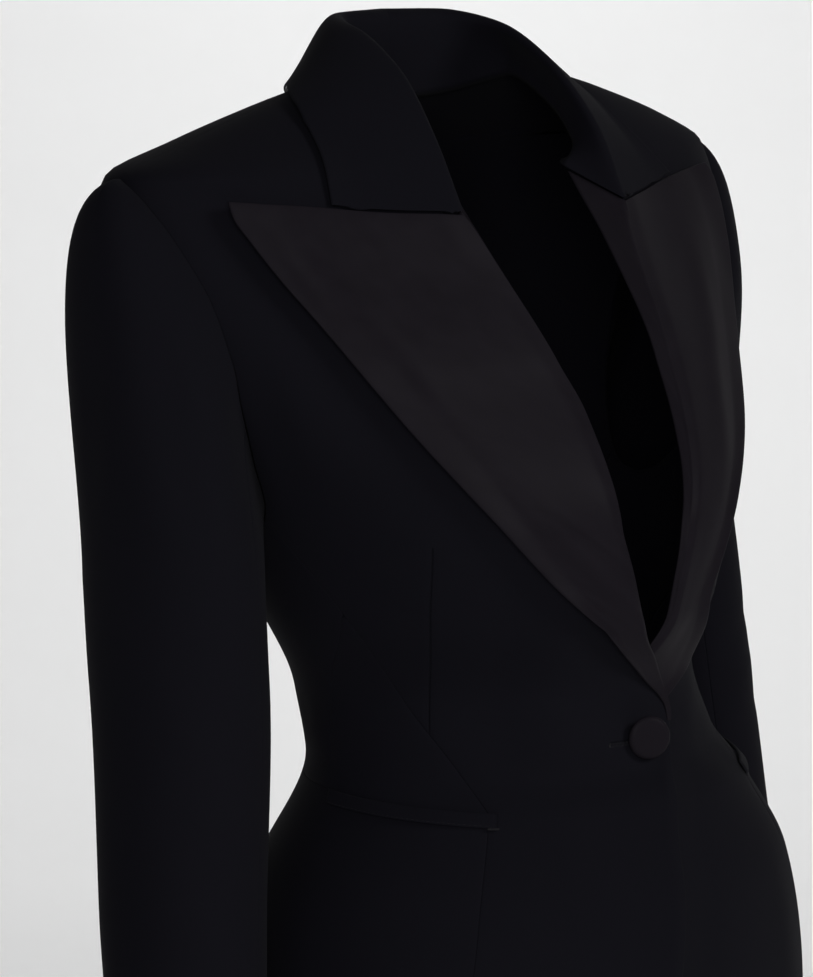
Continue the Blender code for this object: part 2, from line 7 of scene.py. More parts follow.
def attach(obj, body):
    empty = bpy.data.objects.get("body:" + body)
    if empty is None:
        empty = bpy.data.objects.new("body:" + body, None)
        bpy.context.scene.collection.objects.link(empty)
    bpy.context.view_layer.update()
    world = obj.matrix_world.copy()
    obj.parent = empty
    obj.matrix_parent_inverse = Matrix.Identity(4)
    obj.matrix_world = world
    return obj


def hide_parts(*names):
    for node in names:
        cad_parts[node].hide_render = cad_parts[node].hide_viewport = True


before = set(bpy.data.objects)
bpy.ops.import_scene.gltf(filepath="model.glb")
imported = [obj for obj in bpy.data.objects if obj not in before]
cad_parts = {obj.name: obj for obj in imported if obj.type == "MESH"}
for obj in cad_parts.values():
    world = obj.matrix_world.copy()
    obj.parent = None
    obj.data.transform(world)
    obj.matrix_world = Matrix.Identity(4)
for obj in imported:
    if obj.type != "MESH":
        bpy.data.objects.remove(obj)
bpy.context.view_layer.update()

# ------------------------------
# The camera stands at chest height, on the wearer's right front, 2.55 m away. The floor and the
# backdrop are one pale sweep of paper, clear from behind. Three soft boxes light the front, one the
# paper, and a small one, hidden behind the blazer, its back.
def put_in_scene(name, data):
    made = bpy.data.objects.new(name, data)
    bpy.context.scene.collection.objects.link(made)
    return made


def stand_at(made, place, centre):
    """Puts a camera or a lamp at a place and turns it to a centre."""
    made.location = place
    aim = Vector(centre) - made.location
    made.rotation_euler = aim.to_track_quat("-Z", "Y").to_euler()


def smooth_mesh(name, points, faces, look):
    mesh = bpy.data.meshes.new(name)
    mesh.from_pydata(points, [], faces)
    mesh.shade_smooth()
    mesh.materials.append(look.made)
    return mesh


camera_data = bpy.data.cameras.new("camera")
camera_data.lens = 159.7
camera_data.sensor_width = 36
camera = put_in_scene("camera", camera_data)
stand_at(camera, (-1.7391, -1.8650, 0.15), (-0.00914, 0.00852, -0.2475))
bpy.context.scene.camera = camera
bpy.context.scene.view_settings.view_transform = "Standard"


class Nodes:
    """A tree of nodes: each call of node makes one, with its settings first and then its inputs."""

    def __init__(self, tree):
        self.tree = tree

    def node(self, kind, settings=None, **inputs):
        made = self.tree.nodes.new(kind)
        for key, value in (settings or {}).items():
            setattr(made, key, value)
        for key, value in inputs.items():
            key = key.strip("_").replace("_", " ")
            socket = made.inputs[int(key)] if key.isdigit() else made.inputs[key]
            self.feed(socket, value)
        return made

    def feed(self, socket, value):
        if isinstance(value, Value):
            value = value.socket
        if isinstance(value, bpy.types.NodeSocket):
            self.tree.links.new(value, socket)
        else:
            socket.default_value = value


class Finish(Nodes):
    """A material, the nodes behind it, and the slot and ending given with it. The ending goes into its
    cloth pieces' names; the slot is kept but not used.
    """

    def __init__(self, name, slot=None, ending=None):
        self.slot = slot
        self.ending = ending
        self.made = bpy.data.materials.new(name)
        self.made.use_nodes = True
        super().__init__(self.made.node_tree)

    def set(self, **inputs):
        shader = self.tree.nodes["Principled BSDF"]
        for key, value in inputs.items():
            self.feed(shader.inputs[key.replace("_", " ")], value)

    def noise(self, scale, detail, **inputs):
        made = self.node("ShaderNodeTexNoise", Scale=scale, Detail=detail, **inputs)
        return Value(self, made.outputs["Fac"])

    def blend(self, share, dark, pale):
        """A colour between two."""
        colours = {"_6": (*dark, 1), "_7": (*pale, 1)}
        return self.node("ShaderNodeMix", {"data_type": "RGBA"}, _0=share, **colours).outputs[2]

    def cloth_uv(self):
        """Metres across and along the sheet laid flat."""
        return self.node("ShaderNodeUVMap", {"uv_map": "cloth"}).outputs[0]

    def first_two(self, vector):
        split = self.node("ShaderNodeSeparateXYZ", Vector=vector)
        return [Value(self, split.outputs[axis]) for axis in ("X", "Y")]


class Value:
    """A number on a socket, which takes part in sums."""

    def __init__(self, nodes, socket):
        self.nodes = nodes
        self.socket = socket

    def _math(self, operation, *others, clamp=False):
        settings = {"operation": operation, "use_clamp": clamp}
        given = {f"_{i}": other for i, other in enumerate(others)}
        return Value(self.nodes, self.nodes.node("ShaderNodeMath", settings, **given).outputs[0])

    def __add__(self, other):
        return self._math("ADD", self, other)

    def __sub__(self, other):
        return self._math("SUBTRACT", self, other)

    def __rsub__(self, other):
        return self._math("SUBTRACT", other, self)

    def __mul__(self, other):
        return self._math("MULTIPLY", self, other)

    def __truediv__(self, other):
        return self._math("DIVIDE", self, other)

    __radd__ = __add__
    __rmul__ = __mul__

    def __abs__(self):
        return self._math("ABSOLUTE", self)

    def sine(self):
        return self._math("SINE", self)

    def power(self, other):
        return self._math("POWER", self, other)

    def clamped(self):
        return self._math("ADD", self, 0.0, clamp=True)

    def bell(self, width):
        """1 where the value is 0, and 0 beyond the width either side."""
        near = (1 - abs(self) / width).clamped()
        return near * near * (3 - 2 * near)


paper = Finish("pale_paper")
tint = paper.blend(paper.noise(40.0, 4.0), (0.80, 0.80, 0.80), (0.83, 0.83, 0.83))
behind = Value(paper, paper.node("ShaderNodeNewGeometry").outputs["Backfacing"])
paper.set(Base_Color=tint, Roughness=0.9, Alpha=1 - behind)
paper.set(Emission_Color=tint, Emission_Strength=0.17)

FLOOR = -1.05
PAPER_NEAR = -3.2
PAPER_BEND = 2.2
PAPER_ROUND = 0.8
PAPER_TOP = 4.2
PAPER_HALF_WIDTH = 5.0
PAPER_TURN = np.radians(43)
sweep = [(PAPER_NEAR, FLOOR), (PAPER_BEND, FLOOR)]
for t in np.linspace(0.1, np.pi / 2, 12):
    sweep.append((PAPER_BEND + PAPER_ROUND * np.sin(t), FLOOR + PAPER_ROUND * (1 - np.cos(t))))
sweep.append((PAPER_BEND + PAPER_ROUND, PAPER_TOP))
ahead = np.array([np.sin(PAPER_TURN), np.cos(PAPER_TURN)])
aside = np.array([ahead[1], -ahead[0]])
points = []
for far, high in sweep:
    for wide in (-PAPER_HALF_WIDTH, PAPER_HALF_WIDTH):
        x, y = ahead * far + aside * wide
        points.append((x, y, high))
faces = [(2 * i, 2 * i + 1, 2 * i + 3, 2 * i + 2) for i in range(len(sweep) - 1)]
backdrop = put_in_scene("backdrop", smooth_mesh("backdrop", points, faces, paper))

# name, place, what it points at, size, spread in degrees, watts
SOFT_BOXES = [
    ("key_light", (1.0, -2.4, 1.0), (0, 0, -0.25), 1.0, 180, 46),
    ("front_light", (-1.7, -2.1, 0.3), (0, 0, -0.25), 1.0, 180, 34),
    ("left_light", (-2.3, -1.0, 0.9), (0, 0, -0.25), 1.2, 180, 10),
    ("paper_light", (0.9, 1.1, 1.3), (1.9, 2.1, -0.6), 0.7, 90, 6),
    ("rear_light", (0.8415, 0.9298, -0.443), (0, 0, -0.28), 0.22, 180, 12),
]
for name, place, centre, size, spread, watts in SOFT_BOXES:
    light = bpy.data.lights.new(name, "AREA")
    light.shape = "SQUARE"
    light.size = size
    light.energy = watts
    light.spread = np.radians(spread)
    stand_at(put_in_scene(name, light), place, centre)
world = bpy.data.worlds.new("studio")
world.use_nodes = True
surround = world.node_tree.nodes["Background"].inputs
surround["Strength"].default_value = 0.10
surround["Color"].default_value = (1, 1, 1, 1)
bpy.context.scene.world = world

# ------------------------------
# Body cloth: fine black wool crepe, piece-dyed, with a dry matt face. Its crossed threads are
# about half a millimetre apart, a little uneven, and the seams are pressed in.
THREAD = 0.0006
THREAD_HEIGHT = 0.00003
GROOVE_WIDTH = 0.0010
GROOVE_DEPTH = 0.0005
LIP_WIDTH = 0.0040
LIP_DEPTH = 0.0002
wool = Finish("black_wool_crepe", "black_wool", "cloth")
wool_uv = wool.cloth_uv()
across_cloth, along_cloth = wool.first_two(wool_uv)
pebble = wool.noise(1400.0, 2.0, Vector=wool_uv)
cloudy = wool.noise(9.0, 3.0, Vector=wool_uv)
warp = (across_cloth * (2 * np.pi / THREAD) + pebble * 3).sine()
weft = (along_cloth * (2 * np.pi / THREAD) + pebble * 3).sine()
weave = warp * weft * 0.5 + pebble
# Each point's distance from a dart or a slit, kept by cloth_piece. The bump sinks a groove there, and the
# colour is darkened along it with painted shade.
stitched = wool.node("ShaderNodeAttribute", {"attribute_name": "stitched"}).outputs["Vector"]
aside, beyond = wool.first_two(stitched)
pressed = (aside * aside + beyond * beyond).power(0.5)
groove = pressed.bell(GROOVE_WIDTH)
lip = pressed.bell(LIP_WIDTH)
height = weave * THREAD_HEIGHT - groove * GROOVE_DEPTH - lip * LIP_DEPTH
bump = wool.node("ShaderNodeBump", Strength=1.0, Distance=1.0, Height=height)
# Thread and cloud tone of the wool, less painted shade along the dart and slit grooves.
tone_and_groove_shade = (weave * 0.12 + cloudy * 0.4 + 0.55 - groove * 0.5).clamped()
colour = wool.blend(tone_and_groove_shade, (0.0021, 0.0021, 0.0031), (0.0043, 0.0041, 0.0060))
wool.set(
    Base_Color=colour,
    Roughness=0.78 + 0.08 * weave,
    Specular_IOR_Level=0.018,
    Sheen_Weight=0.008,
    Sheen_Roughness=0.5,
    Normal=bump.outputs[0],
)

# ------------------------------
# The two fronts, cut from the shoulder to the hem. Each has a bust dart that runs down into the
# slanting seam, and its edge is turned in over a facing. The right one laps over the left one.
CLOTH = 0.0016
NECK_TOP = -0.004
SHOULDER_TIP = -0.050
PEAK = -0.065
GORGE = -0.081
ARMHOLE_JOINT = -0.243
UNDERARM = -0.254
SIDE_BRANCH = -0.294
BREAK = -0.358
WAIST_SIDE = -0.399
WAIST_FRONT = -0.405
HEM = -0.660

# height, half width, depth in front, depth behind, forward, aside, fullness
RINGS = [
    (0.000, 0.076, 0.010, 0.010, 0.000, 0.000, 2.20),
    (-0.009, 0.111, 0.026, 0.029, 0.000, 0.000, 2.20),
    (-0.020, 0.148, 0.040, 0.045, 0.000, 0.000, 2.20),
    (-0.033, 0.188, 0.053, 0.060, 0.000, 0.000, 2.20),
    (-0.050, 0.232, 0.066, 0.077, 0.000, 0.000, 2.20),
    (-0.070, 0.237, 0.081, 0.090, 0.000, 0.000, 2.20),
    (-0.100, 0.236, 0.100, 0.103, 0.000, 0.000, 2.20),
    (-0.160, 0.213, 0.133, 0.114, 0.006, 0.000, 2.20),
    (-0.240, 0.168, 0.158, 0.112, 0.024, 0.000, 2.10),
    (-0.300, 0.148, 0.139, 0.102, 0.040, 0.001, 1.95),
    (-0.350, 0.131, 0.118, 0.096, 0.050, 0.002, 1.85),
    (-0.385, 0.135, 0.118, 0.098, 0.060, 0.006, 1.85),
    (-0.410, 0.148, 0.126, 0.108, 0.068, 0.008, 1.90),
    (-0.460, 0.176, 0.142, 0.130, 0.070, 0.008, 2.00),
    (-0.550, 0.194, 0.150, 0.145, 0.066, 0.006, 2.10),
    (-0.660, 0.200, 0.154, 0.150, 0.060, 0.004, 2.10),
]
SHOULDER_HALF = 0.232
# The left arm is held back and a little up. Shares are of the half shoulder.
LEFT_HELD_BACK = 0.014
HELD_END = -0.300
LEFT_HELD_UP = 0.0035
UP_STARTS = (0.30, 0.55)
UP_ENDS = (1.0, 0.75)
UP_HEIGHTS = (-0.100, -0.030)

# Seams down the body: height, angle from the centre front.
ARMHOLE_FRONT = [
    (-0.050, 90), (-0.054, 84), (-0.062, 77), (-0.083, 69), (-0.115, 64), (-0.150, 67),
    (-0.180, 72), (-0.210, 78), (-0.243, 84), (-0.250, 88), (-0.254, 95),
]
SLANT_SEAM = [(-0.243, 84), (-0.294, 72), (-0.345, 62), (-0.371, 55), (-0.405, 46)]
HIP_SEAM = [(-0.405, 46), (-0.660, 45)]
BUST_DART = [(-0.252, 47.5), (-0.262, 48.5), (-0.290, 51), (-0.325, 53.5), (-0.364, 57)]

# Lines by their distance from the centre front: height, distance.
NECKLINE = [(-0.004, 0.080), (-0.020, 0.079), (-0.040, 0.075), (-0.060, 0.072), (-0.074, 0.072)]
ROLL_RIGHT = [
    (-0.074, 0.068), (-0.090, 0.058), (-0.120, 0.046), (-0.160, 0.0325), (-0.185, 0.0255),
    (-0.220, 0.0245), (-0.245, 0.0235), (-0.277, 0.0160), (-0.293, 0.0110), (-0.309, 0.0035),
    (-0.327, -0.0110), (-0.342, -0.0190), (-0.358, -0.0230), (-0.368, -0.0200),
]
ROLL_LEFT = [
    (-0.074, 0.068), (-0.100, 0.062), (-0.120, 0.061), (-0.150, 0.059), (-0.180, 0.056),
    (-0.210, 0.047), (-0.235, 0.037), (-0.250, 0.031), (-0.278, 0.0255), (-0.304, 0.021),
    (-0.318, 0.012), (-0.335, -0.006), (-0.358, -0.024),
]
FRONT_EDGE_RIGHT = [
    (-0.358, -0.0230), (-0.375, -0.0175), (-0.390, -0.0105), (-0.405, -0.0010), (-0.436, 0.0095),
    (-0.480, 0.0150), (-0.560, 0.0280), (-0.660, 0.0580),
]
FRONT_EDGE_LEFT = [
    (-0.358, -0.030), (-0.400, -0.028), (-0.440, -0.028), (-0.500, -0.022), (-0.580, 0.000),
    (-0.660, 0.036),
]
ROLL_LIFT = [
    (-0.004, 0.0), (-0.030, 0.002), (-0.055, 0.007), (-0.081, 0.0115), (-0.100, 0.0095),
    (-0.150, 0.005), (-0.200, 0.002), (-0.358, 0.0),
]
ROLL_REACH = 0.060
LAP_LIFT = [(-0.250, 0.0), (-0.295, 0.0062), (-0.360, 0.0062), (-0.400, 0.0026), (-0.660, 0.0026)]
LAP_START = -0.085
LAP_FULL = -0.045
EDGE_CURL = 0.0016
CURL_REACH = 0.009
CURL_HEIGHTS = (-0.346, -0.373)
# The closing edge stands out in a soft ridge, where the two fronts are drawn towards the button.
RIDGE = 0.0065
RIDGE_REACH = {-1: 0.050, 1: 0.036}
RIDGE_HEIGHTS = (-0.370, -0.408)
RIDGE_SOFTNESS = 1.6
# Each front is cut a little inside its roll line, where the lapel's leg covers it.
ROLL_INSET = 0.003
INSET_END = -0.300
HOLE_HEIGHT = -0.3725
HOLE = (-0.0225, 0.002)
# Soft folds, by side: from (height, angle) to (height, angle), how wide, how high.
FRONT_FOLDS = {
    -1: [
        ((-0.372, -14), (-0.350, -34), 0.010, 0.0007), ((-0.380, -14), (-0.398, -34), 0.012, -0.0008),
        ((-0.150, -62), (-0.232, -72), 0.011, -0.0016), ((-0.470, -22), (-0.640, -30), 0.020, 0.0012),
    ],
    1: [
        ((-0.372, 22), (-0.352, 40), 0.010, 0.0008), ((-0.384, 24), (-0.402, 42), 0.012, -0.0009),
        ((-0.150, 62), (-0.232, 74), 0.011, -0.0018), ((-0.450, 32), (-0.640, 36), 0.018, 0.0014),
    ],
}


def hermite(t):
    """The weights of a curve's start, its end, and its direction at each."""
    return 2 * t**3 - 3 * t**2 + 1, 3 * t**2 - 2 * t**3, t**3 - 2 * t**2 + t, t**3 - t**2


def smooth(table, x):
    """The curve through a table of (position, value), with no overshoot."""
    points = np.array(sorted(table), float)
    xs, ys = points[:, 0], points[:, 1]
    step = np.diff(xs)
    slope = np.diff(ys) / step
    tangent = np.concatenate([slope[:1], np.zeros(len(xs) - 2), slope[-1:]])
    same = slope[:-1] * slope[1:] > 0
    before = 2 * step[1:] + step[:-1]
    after = step[1:] + 2 * step[:-1]
    with np.errstate(divide="ignore", invalid="ignore"):
        mean = (before + after) / (before / slope[:-1] + after / slope[1:])
    tangent[1:-1] = np.where(same, mean, 0)
    x = np.clip(np.asarray(x, float), xs[0], xs[-1])
    i = np.clip(np.searchsorted(xs, x) - 1, 0, len(step) - 1)
    start, end, leave, arrive = hermite((x - xs[i]) / step[i])
    ends = start * ys[i] + end * ys[i + 1]
    turns = leave * tangent[i] + arrive * tangent[i + 1]
    return ends + turns * step[i]


def smooth_columns(table, x):
    """The same for every column of a table after its first."""
    return [smooth([(row[0], row[k]) for row in table], x) for k in range(1, len(table[0]))]


def ramp(x, start, end):
    """0 at start, 1 at end, with soft ends."""
    t = np.clip((x - start) / (end - start), 0, 1)
    return t * t * (3 - 2 * t)


def posture(x, z):
    """How far the pose of the left arm moves the cloth at this place."""
    share = np.clip(x, 0, None) / SHOULDER_HALF
    back = LEFT_HELD_BACK * share**2 * ramp(z, HELD_END, SHOULDER_TIP)
    middle = ramp(share, *UP_STARTS) * ramp(share, *UP_ENDS)
    return np.stack([0 * back, back, LEFT_HELD_UP * middle * ramp(z, *UP_HEIGHTS)], -1)


def bare_body(z, angle):
    """Points on the body at these heights and angles, the wearer's right being negative."""
    z, angle = np.broadcast_arrays(np.asarray(z, float), np.radians(angle))
    width, front, back, forward, aside, fullness = smooth_columns(RINGS, z)
    across, along = np.sin(angle), np.cos(angle)
    x = width * np.sign(across) * np.abs(across) ** (2 / fullness)
    depth = np.where(along > 0, front, back)
    y = -depth * np.sign(along) * np.abs(along) ** (2 / fullness)
    return np.stack([x + aside, y - forward, z], -1) + posture(x, z)


def unit(directions):
    return directions / np.linalg.norm(directions, axis=-1, keepdims=True)


# How far apart the points are that give the surface's direction: metres up, degrees round.
PROBE_UP = 0.0005
PROBE_ROUND = 0.3


def body(z, angle, lift=0.0):
    """Points that stand off the body by lift, square to its surface."""
    up = bare_body(z + PROBE_UP, angle) - bare_body(z - PROBE_UP, angle)
    around = bare_body(z, angle + PROBE_ROUND) - bare_body(z, angle - PROBE_ROUND)
    out = unit(np.cross(around, up))
    return bare_body(z, angle) + out * np.asarray(lift, float)[..., None]


def angle_at(z, distance):
    """The angle at which the body lies this far from the centre front."""
    width, *_, fullness = smooth_columns(RINGS, z)
    share = np.clip(np.abs(distance) / width, 0, 1)
    return np.sign(distance) * np.degrees(np.arcsin(share ** (fullness / 2)))


def roll_line(side):
    return ROLL_LEFT if side > 0 else ROLL_RIGHT


def front_lift(z, angle, side):
    """How far a front stands off the body, up to the roll line and where the right one laps over."""
    inward = np.abs(bare_body(z, angle)[..., 0]) * np.sign(angle * side)
    reach = (inward - smooth(roll_line(side), z)) / ROLL_REACH
    lift = smooth(ROLL_LIFT, z) * (1 - np.clip(reach, 0, 1)) ** 2
    if side < 0:
        lift = lift + smooth(LAP_LIFT, z) * ramp(-inward, LAP_START, LAP_FULL)
    return lift


def surface_normals(grid):
    """Directions square to a grid: outward, where its rows run down and its columns to the right."""
    return unit(np.cross(np.gradient(grid, axis=0), np.gradient(grid, axis=1)))


# Points stand close together beside every edge, so that it can be turned over or pressed in.
EDGE_STEPS = np.array([0.0003, 0.0008, 0.0016])
EDGE_ZONE = 0.0022
EDGE_CLEAR = 1.6


def spaced(*stops, step=0.0035):
    """Heights about one step apart through all the stops, and closer at the two ends."""
    runs = []
    for a, b in zip(stops, stops[1:]):
        runs.append(np.linspace(a, b, max(int(abs(b - a) / step), 1), endpoint=False))
    whole = np.concatenate([*runs, [stops[-1]]])
    way = np.sign(stops[-1] - stops[0])
    near = EDGE_STEPS * way
    inside = whole[(whole - stops[0]) * way > EDGE_ZONE]
    inside = inside[(stops[-1] - inside) * way > EDGE_ZONE]
    return np.concatenate([[stops[0]], stops[0] + near, inside, stops[-1] - near[::-1], [stops[-1]]])


def shares(widths, count):
    """Places from 0 to 1 across each row: even inside, and closer near the two edges."""
    edge = np.concatenate([[0], EDGE_STEPS])[None] / widths[:, None]
    inside = np.linspace(0, 1, count)[1:-1][None] * np.ones((len(widths), 1))
    start = edge[:, -1:] * EDGE_CLEAR
    inside = start + (1 - 2 * start) * inside
    return np.concatenate([edge, inside, 1 - edge[:, ::-1]], 1)


def edge_distance(grid):
    """How far each point lies from the first and last column, and from the first and last row."""
    found = []
    for axis in (1, 0):
        steps = np.linalg.norm(np.diff(grid, axis=axis), axis=-1)
        pad = [(0, 0), (0, 0)]
        pad[axis] = (1, 0)
        run = np.pad(np.cumsum(steps, axis=axis), pad)
        found += [run, run.max(axis=axis, keepdims=True) - run]
    return found


# A fold fades in and out at its ends, by the share of its length.
FOLD_STARTS = (-0.15, 0.35)
FOLD_ENDS = (1.15, 0.65)


def folded(grid, folds):
    """How far soft folds move each point: each fold is a start, an end, a width and a height."""
    rise = np.zeros(grid.shape[:2])
    for start, end, width, high in folds:
        start, end = np.array(start), np.array(end)
        along = end - start
        t = ((grid - start) @ along) / (along @ along)
        near = np.linalg.norm(grid - start - np.clip(t, 0, 1)[..., None] * along, axis=-1)
        taper = ramp(t, *FOLD_STARTS) * ramp(t, *FOLD_ENDS)
        rise += high * taper * np.exp(-((near / width) ** 2))
    return rise


def laid_on_body(folds, lift=0.0):
    """The same folds with their ends as points, from heights and angles on the body."""
    return [(body(*a, lift), body(*b, lift), wide, high) for a, b, wide, high in folds]


SUNK = 0.00025
SUNK_REACH = 0.0016
SEAM_ROUND = 0.0003
PAST = 0.0012
# Seams above the chest are pressed flatter than those below it.
FLAT_SEAM = 0.25
FLAT_HEIGHTS = (-0.110, -0.200)


def cloth_piece(name, grid, look, side, past, folds, line, spare):
    """A thin shell of cloth under a grid of points, with round free edges.

    The grid of a left piece is turned over. At a seam, which is sharper and pressed in, the lining
    side runs on past the edge: past is by how much at the first and last column and row.
    """
    if side > 0:
        grid = grid[:, ::-1]
        line = None if line is None else line[:, ::-1]
        past = (past[1], past[0], *past[2:])
    out = surface_normals(grid)
    if spare:
        grid, out = grid[:, spare:-spare], out[:, spare:-spare]
    rise = folded(grid, folds)
    flush = FLAT_SEAM + (1 - FLAT_SEAM) * ramp(grid[..., 2], *FLAT_HEIGHTS)
    over, below = np.zeros(grid.shape[:2]), np.zeros(grid.shape[:2])
    allowance = np.zeros_like(grid)
    ends = [(np.s_[:, 0], np.s_[:, 1]), (np.s_[:, -1], np.s_[:, -2]),
            (np.s_[0], np.s_[1]), (np.s_[-1], np.s_[-2])]
    for (edge, within), distance, run_on in zip(ends, edge_distance(grid), past):
        radius = SEAM_ROUND * flush if run_on else CLOTH / 2
        inside = np.clip(1 - distance / radius, 0, 1)
        curve = radius * (1 - np.sqrt(1 - inside**2))
        over = np.maximum(over, curve)
        if run_on:
            rise = rise - SUNK * flush * np.exp(-((distance / SUNK_REACH) ** 2))
            allowance[edge] += run_on * unit(grid[edge] - grid[within])
        else:
            below = np.maximum(below, curve)
    outer = grid + out * (rise - over)[..., None]
    inner = grid + out * (rise - CLOTH + below)[..., None] + allowance
    rows, columns = grid.shape[:2]
    count = rows * columns
    index = np.arange(count).reshape(rows, columns)
    corners = [index[:-1, :-1], index[1:, :-1], index[1:, 1:], index[:-1, 1:]]
    quads = np.stack(corners, -1).reshape(-1, 4)
    rim = np.concatenate([index[0], index[1:, -1], index[-1, -2::-1], index[-2:0:-1, 0]])
    after = np.roll(rim, -1)
    walls = np.stack([rim, after, after + count, rim + count], -1)
    faces = np.concatenate([quads, quads[:, ::-1] + count, walls])
    points = np.concatenate([outer.reshape(-1, 3), inner.reshape(-1, 3)])
    mesh = smooth_mesh(name, points.tolist(), faces.tolist(), look)
    run_across, _, run_down, _ = edge_distance(grid)
    flat = np.stack([run_across.reshape(-1), run_down.reshape(-1)], -1)
    flat = np.concatenate([flat, flat])
    layer = mesh.uv_layers.new(name="cloth")
    layer.data.foreach_set("uv", flat[faces.reshape(-1)].astype(np.float32).reshape(-1))
    near_line = np.ones((count, 3))
    if line is not None:
        near_line[:, :2] = line.reshape(-1, 2)
    stitched = mesh.attributes.new("stitched", "FLOAT_VECTOR", "POINT")
    near_line = np.concatenate([near_line, near_line]).astype(np.float32)
    stitched.data.foreach_set("vector", near_line.reshape(-1))
    return put_in_scene(name, mesh), flat[:, 0].max(), flat[:, 1].max(), cut_area(grid)


def cut_area(grid):
    a = np.cross(grid[1:, :-1] - grid[:-1, :-1], grid[:-1, 1:] - grid[:-1, :-1])
    b = np.cross(grid[1:, 1:] - grid[1:, :-1], grid[1:, 1:] - grid[:-1, 1:])
    return float((np.linalg.norm(a, axis=-1) + np.linalg.norm(b, axis=-1)).sum() / 2)


def sew(node, grid, look, side=-1, past=(PAST,) * 4, folds=(), line=None, spare=0):
    """Makes a cloth piece named after the node that it stands for, hides that node's part and hangs the
    piece from the root. The size that it was cut to is worked out but not kept.
    """
    name = f"{node}_{look.ending}"
    made = cloth_piece(name, grid, look, side, past, folds, line, spare)
    piece, width, length, area = made
    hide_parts(node)
    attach(piece, "root")


LEAST_WIDTH = 0.012


def between(outer, inner, count):
    """A grid of heights and angles from one seam line to the other."""
    width = np.linalg.norm(body(*outer.T) - body(*inner.T), axis=-1)
    across = shares(np.maximum(width, LEAST_WIDTH), count)[..., None]
    return outer[:, None] * (1 - across) + inner[:, None] * across


def armhole_line(around):
    """The armhole's heights and angles: 0 is the shoulder tip, 90 the front, 180 the underarm."""
    z = SHOULDER_TIP + (UNDERARM - SHOULDER_TIP) * (1 - np.cos(np.radians(around))) / 2
    angles = np.where(around % 360 <= 180, smooth(ARMHOLE_FRONT, z), smooth(ARMHOLE_BACK, z))
    return np.stack([z, angles], -1)


ARMHOLE_BACK = [
    (-0.050, 90), (-0.054, 95), (-0.062, 100), (-0.083, 105), (-0.115, 109), (-0.150, 111),
    (-0.180, 111), (-0.210, 109), (-0.243, 104), (-0.250, 101), (-0.254, 95),
]
SHARE_JOINT = (SHOULDER_TIP - ARMHOLE_JOINT) / (SHOULDER_TIP - UNDERARM)
JOINT = np.degrees(np.arccos(1 - 2 * SHARE_JOINT))
ARM_STEPS = np.linspace(0, JOINT, 67)
SIDES = (("right", -1), ("left", 1))

arm_heights = armhole_line(ARM_STEPS)[:, 0]
top_heights = spaced(NECK_TOP, SHOULDER_TIP)
front_heights = np.concatenate([
    top_heights[:-4], arm_heights, spaced(ARMHOLE_JOINT, SIDE_BRANCH, BREAK, WAIST_FRONT, HEM)[4:]
])
outer_angle = np.where(front_heights > SHOULDER_TIP, 90.0, smooth(ARMHOLE_FRONT, front_heights))
outer_angle = np.where(front_heights < ARMHOLE_JOINT, smooth(SLANT_SEAM, front_heights), outer_angle)
outer_angle = np.where(front_heights < WAIST_FRONT, smooth(HIP_SEAM, front_heights), outer_angle)
for name, side in SIDES:
    edge = FRONT_EDGE_LEFT if side > 0 else FRONT_EDGE_RIGHT
    inset = ROLL_INSET * ramp(front_heights, BREAK, INSET_END)
    roll = smooth(roll_line(side), front_heights) + inset
    distance = np.where(front_heights > GORGE, smooth(NECKLINE, front_heights), roll)
    distance = np.where(front_heights < BREAK, smooth(edge, front_heights), distance)
    outer = np.stack([front_heights, outer_angle], -1)
    inner = np.stack([front_heights, angle_at(front_heights, distance)], -1)
    place = between(outer, inner, 52)
    z, angle = place[..., 0], side * place[..., 1]
    lift = front_lift(z, angle, side)
    grid = body(z, angle, lift)
    beyond = np.abs(-grid[..., 0] - smooth(FRONT_EDGE_RIGHT, z))
    ridge = RIDGE * ramp(z, *RIDGE_HEIGHTS)
    lift = lift + ridge * np.clip(1 - beyond / RIDGE_REACH[side], 0, 1) ** RIDGE_SOFTNESS
    if side < 0:
        curl = EDGE_CURL * ramp(z, *CURL_HEIGHTS)
        lift = lift + curl * np.exp(-((edge_distance(grid)[1] / CURL_REACH) ** 2))
    grid = body(z, angle, lift)
    # Each point's offset from the dart, and on the right from the buttonhole where that is nearer.
    dart_z = np.clip(z, BUST_DART[-1][0], BUST_DART[0][0])
    dart = body(dart_z, side * smooth(BUST_DART, dart_z), front_lift(z, angle, side))
    which = np.sign(place[..., 1] - smooth(BUST_DART, dart_z))
    line_at = np.stack([which * np.linalg.norm((grid - dart)[..., :2], axis=-1), z - dart_z], -1)
    if side < 0:
        hole_x = np.clip(grid[..., 0], HOLE[0], HOLE[1])
        hole_at = np.stack([z - HOLE_HEIGHT, grid[..., 0] - hole_x], -1)
        nearer = np.linalg.norm(hole_at, axis=-1) < np.linalg.norm(line_at, axis=-1)
        line_at = np.where(nearer[..., None], hole_at, line_at)
    folds = laid_on_body(FRONT_FOLDS[side])
    sew(f"front_{name}", grid, wool, side, (PAST, 0, PAST, 0), folds, line_at)

# ------------------------------
# The side pieces: a wedge under each slanting seam, and behind it a broad piece that closes the
# body under the arm. They end at the waist seam, and are sewn to the fronts and the backs.
SIDE_SEAM = [(-0.294, 72), (-0.310, 75), (-0.336, 83), (-0.399, 94)]
BACK_SEAM = [(-0.243, 104), (-0.300, 118), (-0.399, 124), (-0.660, 124)]


def panel(outer, inner, count, side, top=None):
    """A piece of the body between two seam lines, eased to a curved top edge where it has one."""
    place = between(outer, inner, count)
    if top is not None:
        share = (outer[:, 0] - outer[-1, 0]) / (outer[0, 0] - outer[-1, 0])
        across = (place[0, :, 1] - outer[0, 1]) / (inner[0, 1] - outer[0, 1])
        place = place + share[:, None, None] ** 2 * (top(across) - place[0])
    return body(place[..., 0], side * place[..., 1])


def line(levels, angles):
    """A seam line's points, each a height and an angle."""
    return np.stack(np.broadcast_arrays(levels, angles), -1).astype(float)


